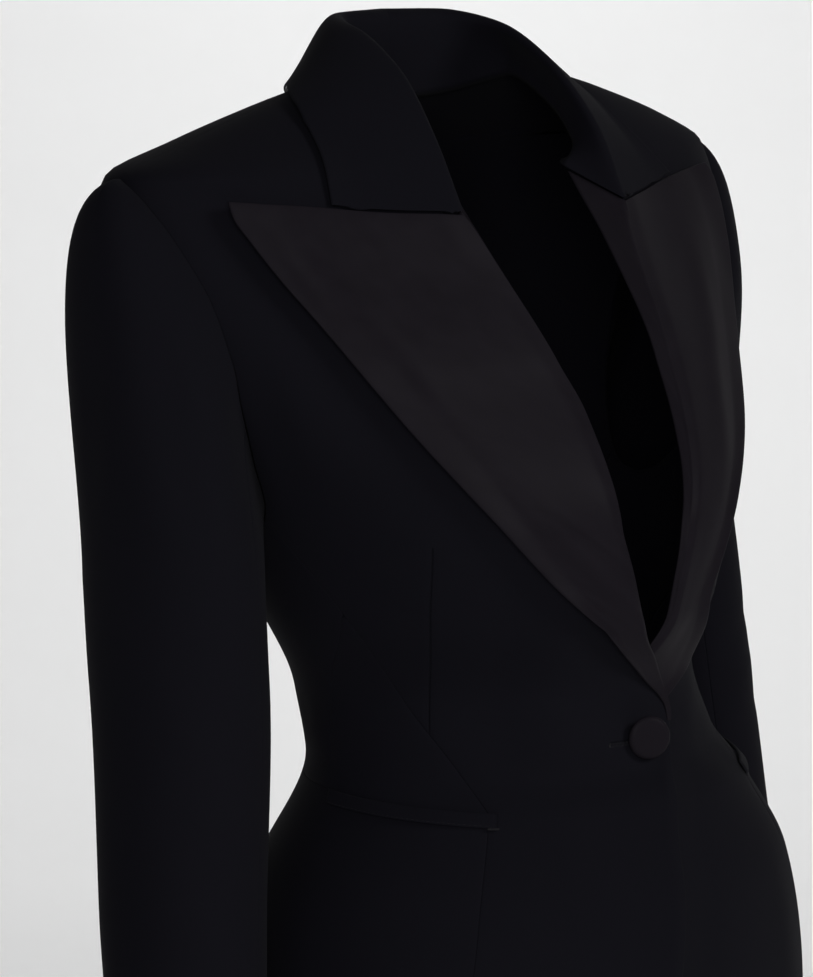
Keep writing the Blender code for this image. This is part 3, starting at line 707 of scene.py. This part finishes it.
SIDE_FOLDS = {
    -1: [((-0.352, -86), (-0.362, -112), 0.008, -0.0012), ((-0.370, -92), (-0.376, -116), 0.008, 0.0010)],
    1: [((-0.348, 88), (-0.360, 114), 0.008, -0.0012), ((-0.368, 90), (-0.378, 112), 0.009, 0.0011)],
}
WEDGE_TOP = -0.297
rear = spaced(WEDGE_TOP, WAIST_SIDE)
fore = rear[0] + (rear - rear[0]) * (WAIST_FRONT - rear[0]) / (WAIST_SIDE - rear[0])
side_heights = spaced(ARMHOLE_JOINT, SIDE_BRANCH, WAIST_SIDE)
slant, seam = smooth(SLANT_SEAM, side_heights), smooth(SIDE_SEAM, side_heights)
branch = np.where(side_heights > SIDE_BRANCH, slant, seam)
for name, side in SIDES:
    inner = line(fore, smooth(SLANT_SEAM, fore))
    grid = panel(line(rear, smooth(SIDE_SEAM, rear)), inner, 14, side)
    sew(f"side_front_{name}", grid, wool, side)
    outer = line(side_heights, smooth(BACK_SEAM, side_heights))
    grid = panel(
        outer, line(side_heights, branch), 34, side,
        top=lambda across: armhole_line(360 - JOINT - across * (360 - 2 * JOINT)),
    )
    sew(f"side_{name}", grid, wool, side, folds=laid_on_body(SIDE_FOLDS[side]))

# ------------------------------
# The backs, cut in one from the shoulder to the hem, and joined by a centre seam that is pressed
# open.
CENTRE_BACK_NECK = -0.019
BACK_NECK_HALF = 0.078
HEMMED = (PAST, PAST, PAST, 0)
back_heights = np.concatenate([
    spaced(NECK_TOP, CENTRE_BACK_NECK, SHOULDER_TIP)[:-4], arm_heights,
    spaced(ARMHOLE_JOINT, SIDE_BRANCH, WAIST_SIDE, HEM)[4:],
])
neck_share = np.clip((back_heights - CENTRE_BACK_NECK) / (NECK_TOP - CENTRE_BACK_NECK), 0, 1)
neck_angle = 180 - angle_at(back_heights, BACK_NECK_HALF * np.sqrt(neck_share))
centre_line = line(back_heights, np.where(back_heights > CENTRE_BACK_NECK, neck_angle, 180.0))
side_angle = np.where(back_heights > SHOULDER_TIP, 90.0, smooth(ARMHOLE_BACK, back_heights))
side_angle = np.where(back_heights < ARMHOLE_JOINT, smooth(BACK_SEAM, back_heights), side_angle)
side_line = line(back_heights, side_angle)
# Soft folds at the small of the back and below the shoulder blade, as on the fronts.
BACK_FOLDS = {
    -1: [
        ((-0.352, -178), (-0.366, -150), 0.009, 0.0016), ((-0.372, -176), (-0.382, -142), 0.010, -0.0015),
        ((-0.150, -114), (-0.262, -128), 0.012, -0.0020), ((-0.440, -160), (-0.640, -154), 0.022, 0.0016),
    ],
    1: [
        ((-0.358, 176), (-0.364, 146), 0.010, 0.0015), ((-0.380, 178), (-0.392, 150), 0.011, -0.0016),
        ((-0.140, 114), (-0.250, 130), 0.012, -0.0022), ((-0.460, 166), (-0.650, 158), 0.024, 0.0014),
    ],
}
for name, side in SIDES:
    grid = panel(centre_line, side_line, 52, side)
    folds = laid_on_body(BACK_FOLDS[side])
    sew(f"back_{name}", grid, wool, side, HEMMED, folds)

# ------------------------------
# The hip pieces, each gored below the waist seam from the back seam to the front's hip seam, and
# turned up at the hem.
def waist_seam(angles):
    """The waist seam's height, level behind the side seam and falling towards the front."""
    side, front = SIDE_SEAM[-1][1], HIP_SEAM[0][1]
    share = np.clip((side - angles) / (side - front), 0, 1)
    return WAIST_SIDE + (WAIST_FRONT - WAIST_SIDE) * share


def hip_top(across):
    angles = BACK_SEAM[-1][1] + across * (HIP_SEAM[0][1] - BACK_SEAM[-1][1])
    return line(waist_seam(angles), angles)


# The hip seam is pressed towards the front, which leaves a fine ridge along it.
HIP_FOLDS = {
    -1: [
        ((-0.440, -47), (-0.665, -46), 0.0022, 0.0007), ((-0.450, -112), (-0.650, -106), 0.020, 0.0018),
        ((-0.470, -78), (-0.640, -72), 0.020, -0.0012),
    ],
    1: [
        ((-0.440, 47), (-0.665, 46), 0.0022, 0.0007), ((-0.430, 108), (-0.650, 112), 0.020, 0.0018),
        ((-0.480, 80), (-0.640, 76), 0.022, -0.0014),
    ],
}
rear = spaced(WAIST_SIDE, HEM)
fore = WAIST_FRONT + (rear - WAIST_SIDE) * (HEM - WAIST_FRONT) / (HEM - WAIST_SIDE)
for name, side in SIDES:
    inner = line(fore, smooth(HIP_SEAM, fore))
    grid = panel(line(rear, smooth(BACK_SEAM, rear)), inner, 64, side, top=hip_top)
    sew(f"hip_{name}", grid, wool, side, HEMMED, laid_on_body(HIP_FOLDS[side]))

# ------------------------------
# The welts: a narrow folded strip of the body cloth that hangs from each waist seam, over the
# mouth of the pocket.
SEAM = 0.0005
WELT_HEIGHT = 0.0075
WELT_FRONT = 44
WELT_BACK = 92
WELT_GAPE = {-1: 0.0008, 1: 0.0014}
drop = -spaced(0.0, -WELT_HEIGHT, step=0.0012)[:, None]
welt_share = np.linspace(0, 1, 60)[None]
welt_angles = WELT_BACK + welt_share * (WELT_FRONT - WELT_BACK)
welts = {}
for name, side in SIDES:
    gape = WELT_GAPE[side] * drop / WELT_HEIGHT * np.sin(np.pi * welt_share)
    grid = body(waist_seam(welt_angles) - drop, side * welt_angles, CLOTH + SEAM + gape)
    welts[side] = grid
    sew(f"pocket_welt_{name}", grid, wool, side, past=(0, 0, 0, 0))

# ------------------------------
# The sleeves, in two pieces each: a wide one over the arm and a narrow one under it. The head is
# padded, and eased into the armhole. The cuff is turned in.
# height, aside, forward, half across, half front to back
SLEEVES = {
    -1: [
        (-0.272, 0.2180, 0.026, 0.0480, 0.0550), (-0.330, 0.2180, 0.030, 0.0485, 0.0535),
        (-0.460, 0.2330, 0.050, 0.0460, 0.0480), (-0.620, 0.2565, 0.082, 0.0430, 0.0440),
    ],
    1: [
        (-0.272, 0.2130, -0.023, 0.0475, 0.0550), (-0.330, 0.2250, -0.023, 0.0475, 0.0535),
        (-0.460, 0.2470, -0.016, 0.0460, 0.0480), (-0.620, 0.2660, 0.004, 0.0430, 0.0440),
    ],
}
SLEEVE_SEAM = JOINT * 8 / 11
# How the padded head leaves the armhole: up, forward, how full, and how full under the arm.
HEAD_RISE = 0.22
HEAD_FORWARD = 0.15
HEAD_FULLNESS = {-1: 0.58, 1: 0.54}
HEAD_LOW = 0.25
HEAD_LOW_FROM = (70, 130)
HEAD_ROWS = [0, 0.0015, 0.004, 0.008, *np.linspace(0.016, 1, 62)[:-1]]


def sleeve_section(side, z, around):
    aside, forward, across, along = smooth_columns(SLEEVES[side], z)
    turn = np.radians(around)
    x = side * (aside + across * np.cos(turn))
    return np.stack([x, -forward - along * np.sin(turn), np.broadcast_to(z, x.shape)], -1)


def sleeve_grid(side, around):
    """Rows from the armhole, over the padded head, down to the cuff."""
    top, cuff = SLEEVES[side][0][0], SLEEVES[side][-1][0]
    places = armhole_line(around)
    start = body(places[:, 0], side * places[:, 1])
    end = sleeve_section(side, np.full(around.shape, top), around)
    reach = np.linalg.norm(end - start, axis=-1, keepdims=True)
    turn = np.radians(around)
    rise = HEAD_RISE * np.cos(turn)
    leave = np.stack([np.full(turn.shape, side), -HEAD_FORWARD * np.sin(turn), rise], -1)
    low = ramp(np.minimum(around, 360 - around), *HEAD_LOW_FROM)[:, None]
    leave = unit(leave) * HEAD_FULLNESS[side] * (1 - (1 - HEAD_LOW) * low)
    arrive = np.array([0.0, 0.0, -1.0])
    rows = []
    for weights in map(hermite, HEAD_ROWS):
        ends = weights[0] * start + weights[1] * end
        rows.append(ends + reach * (weights[2] * leave + weights[3] * arrive))
    for z in spaced(top, cuff)[3:]:
        rows.append(sleeve_section(side, np.full(around.shape, z), around))
    return np.array(rows)


def around_steps(start, end, count):
    """Places round the sleeve, with close ones at the two seams and one spare beyond each."""
    close = np.array([-0.4, 0, 0.4, 1.0, 2.0])
    return np.concatenate([start + close, np.linspace(start, end, count)[2:-2], end - close[::-1]])


# The top edge runs on under the body's, which closes the armhole. Soft folds lie inside the elbow,
# down the outer arm and behind it: from (height, place round) to the same, how wide, how high.
SLEEVE_PAST = (PAST, PAST, 0.003, 0)
SLEEVE_FOLDS = {
    -1: [
        ((-0.130, 352), (-0.235, 344), 0.012, -0.0014), ((-0.352, 20), (-0.376, 88), 0.008, -0.0013),
        ((-0.372, 10), (-0.398, 80), 0.009, 0.0010), ((-0.396, 30), (-0.414, 96), 0.009, -0.0011),
        ((-0.120, 40), (-0.250, 62), 0.012, -0.0012), ((-0.330, 250), (-0.360, 296), 0.010, 0.0016),
        ((-0.362, 244), (-0.386, 300), 0.010, -0.0017), ((-0.560, 300), (-0.470, 330), 0.012, -0.0010),
        ((-0.500, 60), (-0.600, 40), 0.014, -0.0009),
    ],
    1: [
        ((-0.120, 14), (-0.240, 20), 0.012, -0.0013), ((-0.346, 30), (-0.366, 92), 0.008, -0.0013),
        ((-0.378, 14), (-0.392, 86), 0.009, 0.0011), ((-0.402, 24), (-0.424, 90), 0.009, -0.0012),
        ((-0.150, 320), (-0.270, 300), 0.013, -0.0015), ((-0.336, 254), (-0.352, 300), 0.010, 0.0015),
        ((-0.366, 240), (-0.392, 296), 0.010, -0.0018), ((-0.500, 310), (-0.590, 330), 0.014, -0.0010),
    ],
}
for name, side in SIDES:
    folds = [
        (sleeve_section(side, *start), sleeve_section(side, *end), wide, high)
        for start, end, wide, high in SLEEVE_FOLDS[side]
    ]
    over = sleeve_grid(side, around_steps(-SLEEVE_SEAM, SLEEVE_SEAM, 62) % 360)
    sew(f"sleeve_top_{name}", over, wool, side, SLEEVE_PAST, folds, spare=1)
    under = sleeve_grid(side, around_steps(SLEEVE_SEAM, 360 - SLEEVE_SEAM, 40))
    sew(f"sleeve_under_{name}", under, wool, side, SLEEVE_PAST, folds, spare=1)

# ------------------------------
# The lapels: wide peak lapels faced with black satin. Each rolls out of its front, lies on it,
# and stands off it a little at the free edge. Warp and weft here are much finer than the wool's.
satin = Finish("black_satin_facing", "black_satin", "satin")
slub = satin.noise(60.0, 4.0, Vector=satin.cloth_uv())
satin.set(
    Base_Color=satin.blend(slub, (0.0054, 0.0045, 0.0060), (0.0086, 0.0073, 0.0096)),
    Roughness=0.40 + 0.06 * slub,
    Specular_IOR_Level=0.014,
    Sheen_Weight=0.0,
)

LAPEL_EDGE = {
    -1: [
        (-0.065, 0.197), (-0.072, 0.1965), (-0.085, 0.191), (-0.107, 0.180), (-0.127, 0.168),
        (-0.206, 0.120), (-0.268, 0.071), (-0.290, 0.048), (-0.315, 0.0195), (-0.329, 0.0045),
        (-0.341, -0.0065), (-0.3515, -0.0155), (-0.358, -0.0190), (-0.368, -0.0175),
    ],
    1: [
        (-0.065, 0.180), (-0.068, 0.1835), (-0.074, 0.1865), (-0.085, 0.187), (-0.107, 0.182),
        (-0.127, 0.171), (-0.141, 0.161), (-0.175, 0.142), (-0.206, 0.121), (-0.239, 0.091),
        (-0.270, 0.070), (-0.298, 0.058), (-0.320, 0.062), (-0.340, 0.058), (-0.350, 0.040),
        (-0.354, 0.030),
    ],
}
ROLL_LEG = [(-0.081, 0.014), (-0.110, 0.008), (-0.200, 0.005), (-0.270, 0.0025), (-0.358, 0.001)]
LEAST_LAPEL = 0.03
LAPEL_FOOT = {-1: -0.3665, 1: -0.354}
LAPEL_FLAT = {-1: -0.356, 1: -0.375}
LAPEL_FULL = {-1: -0.290, 1: -0.300}
LAPEL_PROFILE = {
    -1: [(0.0, 0.0006), (0.10, 0.0024), (0.30, 0.0022), (0.75, 0.0030), (1.0, 0.0080)],
    1: [(0.0, 0.0006), (0.10, 0.0024), (0.30, 0.0022), (0.75, 0.0024), (1.0, 0.0056)],
}
# The satin's soft waves catch the light: from (height, angle) to the same, how wide, how high.
LAPEL_LIFT = 0.006
LAPEL_FOLDS = {
    -1: [
        ((-0.078, -46), (-0.150, -41), 0.011, -0.0014), ((-0.080, -39), (-0.190, -30), 0.010, 0.0011),
        ((-0.190, -36), (-0.300, -14), 0.013, 0.0013), ((-0.170, -22), (-0.290, -8), 0.012, -0.0010),
    ],
    1: [
        ((-0.085, 50), (-0.200, 44), 0.015, -0.0018), ((-0.100, 34), (-0.240, 24), 0.011, 0.0013),
        ((-0.230, 30), (-0.330, 14), 0.011, -0.0014), ((-0.130, 58), (-0.210, 52), 0.009, 0.0012),
    ],
}
LEG_TOP = (0.0505, -0.0665, -0.0565)
LEG_FADE = -0.150
LEG_SINK = 0.9
LEG_SHARES = (0.1, 0.2, 0.35, 0.55, 0.75, 0.9, 0.96, 1.0)


def lapel_grid(side):
    """Each lapel lies on its front, from the roll out to the free edge, with a leg inside the roll."""
    foot = LAPEL_FOOT[side]
    levels = (spaced(PEAK, foot) - PEAK) / (foot - PEAK)
    fore = PEAK + (foot - PEAK) * levels
    rear = GORGE + (foot - GORGE) * levels
    roll = angle_at(rear, smooth(roll_line(side), rear))[:, None]
    edge = angle_at(fore, smooth(LAPEL_EDGE[side], fore))[:, None]
    width = np.linalg.norm(body(fore, side * edge[:, 0]) - body(rear, side * roll[:, 0]), axis=-1)
    across = shares(np.maximum(width, LEAST_LAPEL), 44)
    z = fore[:, None] + (rear - fore)[:, None] * across**2
    angle = side * (edge * (1 - across) + roll * across)
    rest = CLOTH + SEAM
    lift = rest + smooth(LAPEL_PROFILE[side], 1 - across) * ramp(z, LAPEL_FLAT[side], LAPEL_FULL[side])
    fall = body(z, angle, front_lift(z, angle, side) + lift)
    leg = []
    for share in LEG_SHARES:
        inward = smooth(ROLL_LEG, rear) * share
        turn = side * angle_at(rear, smooth(roll_line(side), rear) - inward)
        sunk = front_lift(rear, side * roll[:, 0], side) + rest - LEG_SINK * inward
        below = body(rear, turn, sunk)
        neck = np.array(LEG_TOP) * [side, 1, 1]
        above = fall[0, -1] + share * (neck + posture(neck[0], neck[2]) - fall[0, -1])
        leg.append(below + ramp(rear, LEG_FADE, GORGE)[:, None] * (above - below[0]))
    return np.concatenate([fall, np.stack(leg, 1)], 1)


for name, side in SIDES:
    folds = laid_on_body(LAPEL_FOLDS[side], LAPEL_LIFT)
    sew(f"lapel_{name}", lapel_grid(side), satin, side, (0, 0, PAST / 4, 0), folds)

# ------------------------------
# The collar: stand, roll and fall in one folded piece of the body cloth, from one gorge round the
# neck to the other, where it is sewn to the lapels.
# place, seam, crest, outer edge
COLLAR_BOTH = [
    (0.0, (0.054, -0.070, -0.0535), (0.067, -0.096, -0.0715), (0.137, -0.066, -0.0660)),
    (0.8, (0.046, 0.030, -0.0100), (0.042, 0.032, 0.0330), (0.066, 0.045, -0.0160)),
    (1.0, (0.000, 0.039, -0.0150), (0.000, 0.041, 0.0340), (0.000, 0.066, -0.0320)),
]
COLLAR = {
    -1: COLLAR_BOTH + [
        (0.2, (0.070, -0.055, -0.0385), (0.064, -0.073, -0.0340), (0.130, -0.050, -0.0430)),
        (0.4, (0.073, -0.031, -0.0180), (0.060, -0.036, 0.0060), (0.121, -0.020, -0.0130)),
        (0.6, (0.073, 0.004, -0.0010), (0.060, 0.000, 0.0270), (0.102, 0.009, -0.0050)),
    ],
    1: COLLAR_BOTH + [
        (0.2, (0.068, -0.055, -0.0385), (0.070, -0.073, -0.0340), (0.114, -0.050, -0.0400)),
        (0.4, (0.073, -0.031, -0.0180), (0.065, -0.038, 0.0040), (0.098, -0.012, -0.0080)),
        (0.6, (0.073, 0.004, -0.0010), (0.061, 0.000, 0.0250), (0.088, 0.014, -0.0040)),
    ],
}
COLLAR_REST = 0.0026
COLLAR_COVERS = (-0.001, -0.100)
COLLAR_GAP = 0.0012
COLLAR_PAST = (0.005, 0, PAST / 4, PAST / 4)
EVENINGS = 2


def smooth_points(table, k, x):
    """The curve in space through a table's column of points."""
    return np.stack([smooth([(row[0], row[k][i]) for row in table], x) for i in range(3)], -1)


def bezier(points, t):
    a, b, c, d = points
    return (1 - t) ** 3 * a + 3 * t * (1 - t) ** 2 * b + 3 * t * t * (1 - t) * c + t**3 * d


def clear_of_body(points, side):
    """The points, each moved out where it lies too near the shoulder or the front below it."""
    z = np.linspace(*COLLAR_COVERS, 100)[:, None]
    angle = np.linspace(1, 179, 179)[None]
    lift = front_lift(z, side * np.minimum(angle, 90), side) * (angle < 90)
    surface = body(z, side * angle, lift)
    out = surface_normals(surface) * side
    push = np.zeros_like(points)
    for place in np.ndindex(points.shape[:-1]):
        away = points[place] - surface
        near = np.linalg.norm(away, axis=-1)
        at = np.unravel_index(near.argmin(), near.shape)
        push[place] = max(COLLAR_REST - away[at] @ out[at], 0) * out[at]
    for _ in range(EVENINGS):
        push[1:-1, 1:-1] = (push[:-2, 1:-1] + push[2:, 1:-1] + push[1:-1, :-2] + push[1:-1, 2:]) / 4
    return points + push


STAND = (0, 0.006, 0.016, 0.03, 0.09, 0.18, 0.27, 0.36, 0.45, 0.54, 0.63, 0.72, 0.81, 0.9, 0.96)
FALL = (*np.linspace(0, 0.95, 24), 0.97, 0.985, 0.995, 1)
# How far the stand leans and the fall rolls, as shares of their depths, and in metres.
STAND_RISE = 0.5
CREST_TUCK = 0.3
FALL_OUT = 0.010
FALL_EASE = 0.4
FALL_CROWN = 0.003
# The stand's end runs down to the lapel's leg, and the whole end fades into the collar.
END_NECK = ((0, 0.35, 0.7, 0.9, 1), (1, 0.66, 0.30, 0.10, 0))
END_FADE = ((0, 0.0714, 0.143, 0.214), (1, 0.45, 0.1, 0))
stations = spaced(0.0, 1.0, step=0.014)
first = len(STAND)
legs = len(LEG_SHARES)
upward = np.array([0.0, 0.0, 1.0])
halves = []
for name, side in SIDES:
    seam, crest, edge = (smooth_points(COLLAR[side], k, stations) for k in (1, 2, 3))
    outward = unit((edge - crest) * [1, 1, 0])
    rise = np.linalg.norm(crest - seam, axis=-1, keepdims=True)
    stand = [seam, seam + STAND_RISE * rise * upward, crest - CREST_TUCK * rise * outward, crest]
    eased = edge + FALL_EASE * (crest - edge) + FALL_CROWN * upward
    fall = [crest, crest + FALL_OUT * outward, eased, edge]
    columns = [bezier(stand, t) for t in STAND] + [bezier(fall, t) for t in FALL]
    grid = np.stack(columns, 1) * [side, 1, 1]
    grid += posture(grid[..., 0], grid[..., 2])
    grid[:, first:] = clear_of_body(grid[:, first:], side)
    top = lapel_grid(side)[0]
    lapel_crest, neck = top[-legs - 1], top[-1]
    end = grid[0].copy()
    over = top[-legs - 1::-1]
    heights = np.interp(np.abs(end[first:, 0]), np.abs(over[:, 0]), over[:, 2])
    end[first:, 2] = heights + COLLAR_GAP
    share = np.interp(STAND, *END_NECK)[:, None]
    end[:first] = lapel_crest + share * (neck - lapel_crest) + COLLAR_GAP * np.array([0, 0.8, 1.0])
    grid += np.interp(stations, *END_FADE)[:, None, None] * (end - grid[0])
    halves.append(grid)
whole = np.concatenate([halves[0], halves[1][::-1][1:]])
sew("collar", whole, wool, side=1, past=COLLAR_PAST)

# ------------------------------
# The button: a metal mould covered in satin, on a thread shank that passes through the buttonhole
# of the right front to the left one.
BUTTON_HEIGHT = -0.3711
BUTTON_X = -0.0018
BUTTON_TURN = 24
BUTTON_RADIUS = 0.0125
BUTTON_THICK = 0.0045
BUTTON_TIP = 0.00001
BUTTON_SIDES = 72
SHANK_RADIUS = 0.0011
# The covered mould from below to above: height as a share of its thickness, and its radius.
BUTTON_PROFILE = [
    (0.0, 0.60), (0.05, 0.80), (0.15, 0.93), (0.3, 0.99), (0.42, 1.0), (0.55, 0.99), (0.70, 0.95),
    (0.82, 0.88), (0.90, 0.78), (0.95, 0.60), (0.98, 0.35), (1.0, 0.10),
]
angle = angle_at(BUTTON_HEIGHT, BUTTON_X)
lap = front_lift(BUTTON_HEIGHT, angle, -1)
seat = body(BUTTON_HEIGHT, angle, lap)
turn = np.radians(BUTTON_TURN)
axis = np.array([-np.sin(turn), -np.cos(turn), 0.0])
across = unit(np.cross(axis, [0, 0, 1.0]))
up = np.cross(across, axis)
under = BUTTON_RADIUS * np.sin(turn) + SEAM
rings = [(SEAM - lap, SHANK_RADIUS), (under, SHANK_RADIUS)]
rings += [(under + high * BUTTON_THICK, wide * BUTTON_RADIUS) for high, wide in BUTTON_PROFILE]
spin = np.linspace(0, 2 * np.pi, BUTTON_SIDES, endpoint=False)[:, None]
rim = np.cos(spin) * across + np.sin(spin) * up
points = [seat + axis * rings[0][0]]
for high, wide in rings:
    points.extend(seat + axis * high + rim * wide)
points.append(seat + axis * (rings[-1][0] + BUTTON_TIP))
faces = []
last = 1 + (len(rings) - 1) * BUTTON_SIDES
for k in range(BUTTON_SIDES):
    after = (k + 1) % BUTTON_SIDES
    faces.append((0, 1 + k, 1 + after))
    for low in range(1, last, BUTTON_SIDES):
        high = low + BUTTON_SIDES
        faces.append((low + k, high + k, high + after, low + after))
    faces.append((last + k, len(points) - 1, last + after))
mesh = smooth_mesh("button", [tuple(p) for p in points], faces, satin)
button = put_in_scene("covered_button", mesh)
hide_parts("button")
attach(button, "root")

# ------------------------------
# The hand stitches: buttonhole stitch round the slit, a bar tack at the front end of each welt, and
# a row of small stitches that holds the welt's lower edge. Black silk thread, a little glossy.
thread = Finish("black_silk_thread")
twist = thread.noise(2500.0, 2.0)
thread_colour = thread.blend(twist, (0.0045, 0.0044, 0.0055), (0.0110, 0.0105, 0.0125))
thread.set(Base_Color=thread_colour, Roughness=0.50 + 0.10 * twist, Specular_IOR_Level=0.10)

tree = bpy.data.node_groups.new("hand_stitches", "GeometryNodeTree")
inputs = {}
for label, kind, value in (
    ("Geometry", "NodeSocketGeometry", None), ("Thread Length", "NodeSocketFloat", 0.0022),
    ("Thread Radius", "NodeSocketFloat", 0.00022), ("Unevenness", "NodeSocketFloat", 0.12),
    ("Seed", "NodeSocketInt", 7),
):
    socket = tree.interface.new_socket(name=label, in_out="INPUT", socket_type=kind)
    inputs[label] = socket.identifier
    if value is not None:
        socket.default_value = value
tree.interface.new_socket(name="Geometry", in_out="OUTPUT", socket_type="NodeSocketGeometry")

# Each stitch is a long bead, laid across the row and facing off the cloth.
stitching = Nodes(tree)
given = stitching.node("NodeGroupInput").outputs
fibre = stitching.node("GeometryNodeMeshUVSphere", Segments=8, Rings=6, Radius=1.0)
radius = given["Thread Radius"]
half = stitching.node("ShaderNodeMath", {"operation": "MULTIPLY"}, _0=given["Thread Length"], _1=0.5)
form = stitching.node("ShaderNodeCombineXYZ", X=half.outputs[0], Y=radius, Z=radius)
least = stitching.node("ShaderNodeMath", {"operation": "SUBTRACT"}, _0=1.0, _1=given["Unevenness"])
uneven = stitching.node(
    "FunctionNodeRandomValue", {"data_type": "FLOAT"},
    _2=least.outputs[0], _3=1.0, Seed=given["Seed"],
)
sized = stitching.node(
    "ShaderNodeVectorMath", {"operation": "SCALE"}, _0=form.outputs[0], Scale=uneven.outputs[1]
)
VECTOR = {"data_type": "FLOAT_VECTOR"}
run = stitching.node("GeometryNodeInputNamedAttribute", VECTOR, Name="across").outputs[0]
face = stitching.node("GeometryNodeInputNamedAttribute", VECTOR, Name="facing").outputs[0]
laid = stitching.node("FunctionNodeAlignRotationToVector", {"axis": "X"}, Vector=run)
turned = stitching.node(
    "FunctionNodeAlignRotationToVector", {"axis": "Z", "pivot_axis": "X"},
    Rotation=laid.outputs[0], Vector=face,
)
placed = stitching.node(
    "GeometryNodeInstanceOnPoints", Points=given["Geometry"], Instance=fibre.outputs["Mesh"],
    Rotation=turned.outputs[0], Scale=sized.outputs[0],
)
solid = stitching.node("GeometryNodeRealizeInstances", Geometry=placed.outputs[0])
rounded = stitching.node("GeometryNodeSetShadeSmooth", Geometry=solid.outputs[0])
faced = stitching.node("GeometryNodeSetMaterial", Geometry=rounded.outputs[0], Material=thread.made)
stitching.node("NodeGroupOutput", Geometry=faced.outputs[0])


def stitch_row(name, rows, length, radius, seed):
    """Stitches from rows of (place, direction of the thread, direction off the cloth)."""
    places, across, facing = (np.array([row[k] for row in rows], np.float32) for k in range(3))
    mesh = bpy.data.meshes.new(name)
    mesh.from_pydata(places.tolist(), [], [])
    for label, values in (("across", across), ("facing", facing)):
        layer = mesh.attributes.new(label, "FLOAT_VECTOR", "POINT")
        layer.data.foreach_set("vector", values.reshape(-1))
    piece = put_in_scene(name, mesh)
    worked = piece.modifiers.new("stitches", "NODES")
    worked.node_group = tree
    for label, value in (("Thread Length", length), ("Thread Radius", radius), ("Seed", seed)):
        worked[inputs[label]] = value
    ready = piece.evaluated_get(bpy.context.evaluated_depsgraph_get())
    piece.data = bpy.data.meshes.new_from_object(ready)
    piece.data.name = name
    piece.modifiers.remove(worked)
    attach(piece, "root")


HOLE_STITCHES = 26
HOLE_END_STITCHES = 7
HOLE_HALF = 0.0007
STITCH_LIFT = 0.00008
front = bpy.data.objects["front_right_cloth"].data
sides = [tuple(face.vertices) for face in front.polygons]
skin = BVHTree.FromPolygons([point.co for point in front.vertices], sides)


def on_front(x, z):
    """A place just off the right front's face, and the direction off it."""
    at, off, _, _ = skin.ray_cast(Vector((x, -1, z)), Vector((0, 1, 0)))
    return at + off * STITCH_LIFT, off


rows = []
for part in (-1, 1):
    for x in np.linspace(HOLE[0], HOLE[1], HOLE_STITCHES):
        at, off = on_front(x, HOLE_HEIGHT + part * HOLE_HALF)
        rows.append((at, (0, 0, 1), off))
for turn in np.radians(np.linspace(110, 250, HOLE_END_STITCHES)):
    at, off = on_front(HOLE[0] + HOLE_HALF * np.cos(turn), HOLE_HEIGHT + HOLE_HALF * np.sin(turn))
    rows.append((at, (np.cos(turn), 0, np.sin(turn)), off))
stitch_row("buttonhole_stitches", rows, length=0.0015, radius=0.00017, seed=3)

WELT_STITCH = 0.0030
WELT_CLEAR = 0.004
WELT_INSET = 0.0009
WELT_LIFT = 0.00002
AHEAD = 0.001
TACK_STITCHES = 11
TACK_LENGTH = 0.0050
TACK_PAST = 0.001
TACK_INSET = 0.0006


def along(row, run, reach):
    """The place this far along a row of points."""
    return np.array([np.interp(reach, run, row[:, k]) for k in range(3)])


for name, side in SIDES:
    lower, above = welts[side][-1], welts[side][-4]
    run = np.concatenate([[0], np.cumsum(np.linalg.norm(np.diff(lower, axis=0), axis=-1))])
    rows = []
    for reach in np.arange(WELT_CLEAR, run[-1] - WELT_CLEAR, WELT_STITCH):
        at = along(lower, run, reach)
        ahead = unit(along(lower, run, reach + AHEAD) - at)
        up = unit(along(above, run, reach) - at)
        off = unit(np.cross(ahead, up) * -side)
        rows.append((at + WELT_INSET * up + WELT_LIFT * off, ahead, off))
    stitch_row(f"welt_stitches_{name}", rows, length=0.0016, radius=0.00016, seed=5)
    corner = welts[side][-1, -1]
    ahead = unit(corner - welts[side][-1, -2])
    up = unit(welts[side][0, -1] - corner)
    off = np.cross(ahead, up) * -side
    start = corner - TACK_INSET * (up + off)
    reaches = np.linspace(-TACK_LENGTH, TACK_PAST, TACK_STITCHES)
    rows = [(start + reach * ahead, up, off) for reach in reaches]
    stitch_row(f"bar_tack_{name}", rows, length=0.0020, radius=0.00028, seed=9)
